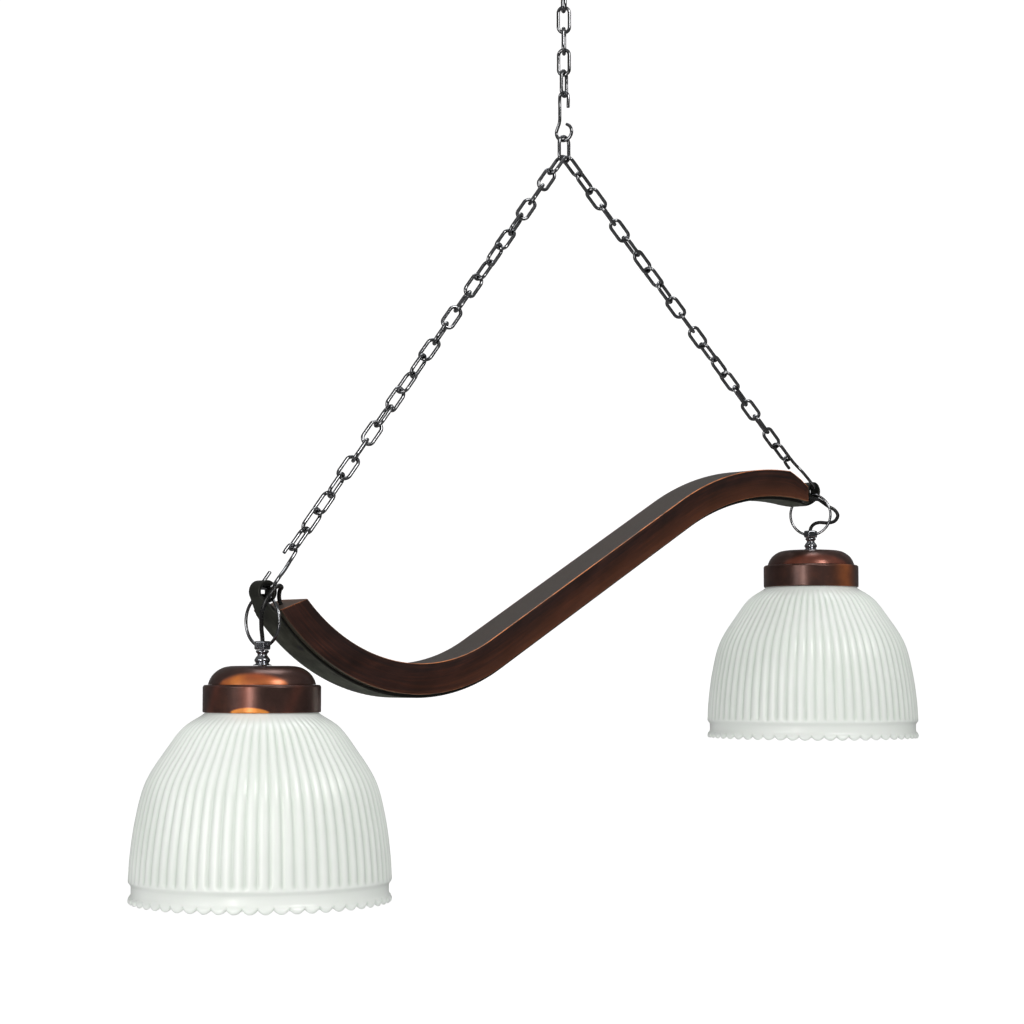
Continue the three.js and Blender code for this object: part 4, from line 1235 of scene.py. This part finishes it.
def band_piece(name):
    """The collar below the crown. Its wall has many rows, so that the painted highlight map has points to sit on."""
    upper, lower = BAND_TOP - 1.6, BAND_BOTTOM + 0.8
    wall = [(BAND_R, upper + (lower - upper) * k / 20) for k in range(21)]
    rim = [(BAND_R - 0.5, BAND_BOTTOM), (BAND_R - BAND_WALL, BAND_BOTTOM)]
    inside = [(BAND_R - BAND_WALL, BAND_TOP - 1.5), (BAND_EYE_R, BAND_TOP - 1.5)]
    profile = [(BAND_EYE_R, BAND_TOP), (BAND_R - 1.4, BAND_TOP), *wall, *rim, *inside]
    return lathe(name, rounded(profile, 0.7, 3), 144)


def bulb_piece(name):
    outer = smooth_profile([
        (10, BULB_TOP), (12.8, -125.5), (13.4, -132), (17, -143), (22, -153), (27.4, -164), (29.8, -175),
        (28, -187), (21.5, -197.5), (11.5, -203.5), (3, -205.2), (0, -205.3),
    ], 4)
    return lathe(name, [(0, BULB_TOP), *outer], 64, closed=False)


def pendant(name, centre):
    """One lamp, from the wire ring down to the bulb."""
    body = f"{name}_pendant"
    yaw = RING_YAW[name]
    at = Matrix.Translation(centre)
    ring = tube(f"{name}_wire_ring", ring_line(), RING_WIRE_R, 16, cap=0.1)
    transform(ring, at @ Matrix.Translation((0, 0, -RING_SEAT - RING_R)) @ turn_z(yaw - 90))
    finish_piece(ring, body, "black_nickel", f"{name}_ring")
    boss = transform(boss_piece(f"{name}_hex_boss", yaw), at)
    finish_piece(boss, body, "gunmetal", f"{name}_boss")
    neck = transform(neck_piece(f"{name}_turned_neck"), at)
    finish_piece(neck, body, "gunmetal", f"{name}_neck")
    dome = transform(crown_piece(f"{name}_crown"), at)
    painted_highlight_map(dome, centre, lambda z, a: crown_highlight(z, a, name))
    finish_piece(dome, body, "copper", f"{name}_cap_dome")
    band = transform(band_piece(f"{name}_collar"), at)
    painted_highlight_map(band, centre, lambda z, a: band_highlight(z, a, name))
    finish_piece(band, body, "copper", f"{name}_cap_band")
    shade = shade_piece(f"{name}_ribbed_shade", centre)
    finish_piece(shade, body, "glass", f"{name}_shade")
    bulb = transform(bulb_piece(f"{name}_bulb_envelope"), at)
    finish_piece(bulb, body, "opal", f"{name}_bulb_glass")


# ---------- where painted highlights and reflections lie on the copper ---
FACING = -138  # degrees: the front of the lamps


def off_centre(a, middle):
    """Degrees from the middle, between -180 and 180."""
    return (a - middle + 180) % 360 - 180


def smoothly(t):
    t = max(0.0, min(1.0, t))
    return t * t * (3 - 2 * t)


def arch(d, z, foot, wide, tall, soft):
    """A low arch standing on a rim: 1 inside, fading to 0 over `soft` millimetres."""
    share = 1 - (d / wide) ** 2
    if share <= 0:
        return 0.0
    return smoothly((foot + tall * share ** 0.6 - z) / soft + 0.15) * smoothly(share * 3)


def crown_highlight(z, a, name):
    """Painted highlight on the crown: how strong it is, and how bright its orange is."""
    if name == "left":
        d = off_centre(a, FACING + 1)
        bright = 0.10 + 0.30 * math.exp(-((d + 17) / 9) ** 2) + 0.2 * math.exp(-((z + 83) / 3) ** 2)
        return 0.95 * arch(d, z, CROWN_BOTTOM, 42, 11.8, 4.5), bright
    return 0.42 * arch(off_centre(a, FACING + 6), z, CROWN_BOTTOM, 50, 12.5, 6), 0.0


def band_highlight(z, a, name):
    """Painted highlights on the collar: a small bright arch on the rim, a faint bloom above it and a streak of painted
    reflection on each side.
    """
    if name == "left":
        d = off_centre(a, FACING)
        rim = arch(d, z, BAND_BOTTOM, 21, 5.6, 1.8)
        bloom = 0.30 * math.exp(-((d + 3) / 8) ** 2)
        streak = 0.26 * math.exp(-((d + 41 - (z + 98) * 0.6) / 7) ** 2)
        streak += 0.20 * math.exp(-((d - 44 - (z + 98) * 0.5) / 7) ** 2)
        return min(1.0, rim + bloom + streak), rim
    d = off_centre(a, FACING + 44)
    return 0.62 * math.exp(-(d / 15) ** 2), 0.35


pendant("left", LEFT_C)
pendant("right", RIGHT_C)


# ---------- looks of the CAD solids that are kept ----------
PAIRS = {
    "zinc": ["bulb_cap"],
    "brass": ["nipple", "lock_nut", "thread_shell"],
    "porcelain": ["lamp_holder", "shade_ring"],
}
KEPT = {look: [f"{lamp}_{n}" for n in names for lamp in ("left", "right")] for look, names in PAIRS.items()}
KEPT["zinc"] += ["plate_screw_1", "plate_screw_2", "hook_nut"] + [f"strap_screw_{i}" for i in range(1, 7)]
for look, names in KEPT.items():
    for n in names:
        materials = frame["nodes"][n].data.materials
        materials.clear()
        materials.append(MAT[look])


# ---------- stage, light and camera ----------
def stage_material():
    """White paper: it glows a little to the camera and is darker in the metal's reflections."""
    m, t, s = node_material("paper")
    white = ramp(t, noise(t, coords(t), 30.0, 2.0), [(0.3, (0.91, 0.91, 0.91)), (0.7, (0.93, 0.93, 0.93))])
    ray = node(t, "LightPath").outputs
    fill(t, s, {
        "Base Color": mix_colour(t, ray["Is Glossy Ray"], white, (0.16, 0.16, 0.16)),
        "Emission Color": (1, 1, 1, 1),
        "Emission Strength": maths(t, "MULTIPLY", ray["Is Camera Ray"], 0.34),
        "Roughness": 0.9,
        "Specular IOR Level": 0.1,
    })
    return m


LOOK = Vector((0.668, 0.744, 0))  # horizontal direction the camera looks in
SIDE = Vector((0.744, -0.668, 0))
CAMERA = LEFT_C / 1000 + Vector((-1.206, -1.705, -0.0715)) - SIDE * 0.012
PITCH = 4.0
LENS = 79.1

FLOOR_Z = -2.4
BACK = 4.6  # beyond every place round the lamp that the camera may stand
STAGE = 18  # half the width of the sweep, and how far its floor comes forward
WALL_TOP = 14
SWEEP_R = 0.5  # between floor and wall
profile = [(-STAGE, FLOOR_Z)]
for k in range(17):
    a = 90 * k / 16
    profile.append((BACK - SWEEP_R + SWEEP_R * sin(a), FLOOR_Z + SWEEP_R - SWEEP_R * cos(a)))
profile.append((BACK, WALL_TOP))
wall_points = []
for d, z in profile:
    for across in (-STAGE, STAGE):
        p = LOOK * d + SIDE * across
        wall_points.append((p.x * 1000, p.y * 1000, z * 1000))
wall_faces = [(2 * i, 2 * i + 1, 2 * i + 3, 2 * i + 2) for i in range(len(profile) - 1)]
floor = make("paper_sweep", wall_points, wall_faces)
floor.data.materials.append(stage_material())
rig.stage(floor)


def aim(obj, where, direction):
    """Stands a camera or a light at a place, looking in a direction."""
    obj.location = where
    obj.rotation_mode = "QUATERNION"
    obj.rotation_quaternion = direction.to_track_quat("-Z", "Y")


camera_data = bpy.data.cameras.new("camera")
camera_data.sensor_width = 36
camera_data.lens = LENS
camera = add_object("camera", camera_data)
aim(camera, CAMERA, LOOK * cos(PITCH) + Vector((0, 0, sin(PITCH))))
bpy.context.scene.camera = camera


def area(name, where, target, size, power, colour=(1, 1, 1), size_y=None):
    data = bpy.data.lights.new(name, "AREA")
    data.energy = power
    data.color = colour
    data.size = size
    if size_y:
        data.shape = "RECTANGLE"
        data.size_y = size_y
    aim(add_object(name, data), where, target - where)


MID = Vector((0, 0, -0.62))
area("key", MID - LOOK * 1.9 + SIDE * 1.3 + Vector((0, 0, 1.5)), MID, 0.8, 24, (1.0, 0.985, 0.96))
area("fill", MID - LOOK * 2.0 - SIDE * 1.9 + Vector((0, 0, 0.5)), MID, 0.9, 9, (0.97, 0.985, 1.0))
area("top", MID + Vector((0, 0, 2.2)) + LOOK * 0.5, MID, 1.2, 16, (0.96, 0.98, 1.0))
area("strip", MID - LOOK * 2.1 - SIDE * 0.85, MID - SIDE * 0.3, 0.2, 11, (1.0, 0.96, 0.93), 1.6)

# the world is soft white light, dark where metal mirrors it, and full white behind the lamp
world = bpy.data.worlds.new("studio")
world.use_nodes = True
bpy.context.scene.world = world
sky = world.node_tree
height = node(sky, "SeparateXYZ", {"Vector": node(sky, "TexCoord").outputs["Generated"]}).outputs["Z"]
mirrored = ramp(sky, remap(sky, height, (-1.0, 1.0)), [(0.3, (0.10,)), (0.5, (0.05,)), (0.75, (0.30,))])
ray = node(sky, "LightPath").outputs
seen = mix_colour(sky, ray["Is Glossy Ray"], (1, 1, 1), mirrored)
fill(sky, sky.nodes["Background"], {
    "Color": mix_colour(sky, ray["Is Camera Ray"], seen, (1.43, 1.43, 1.43)),
    "Strength": 0.70,
})

bpy.context.scene.view_settings.view_transform = "Standard"
bpy.context.scene.view_settings.look = "None"

bpy.context.view_layer.update()
with open("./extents.json") as f:
    sizes = json.load(f)
sizes["visual"] = [list(v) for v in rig.bounds()]
with open("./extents.json", "w") as f:
    json.dump(sizes, f)
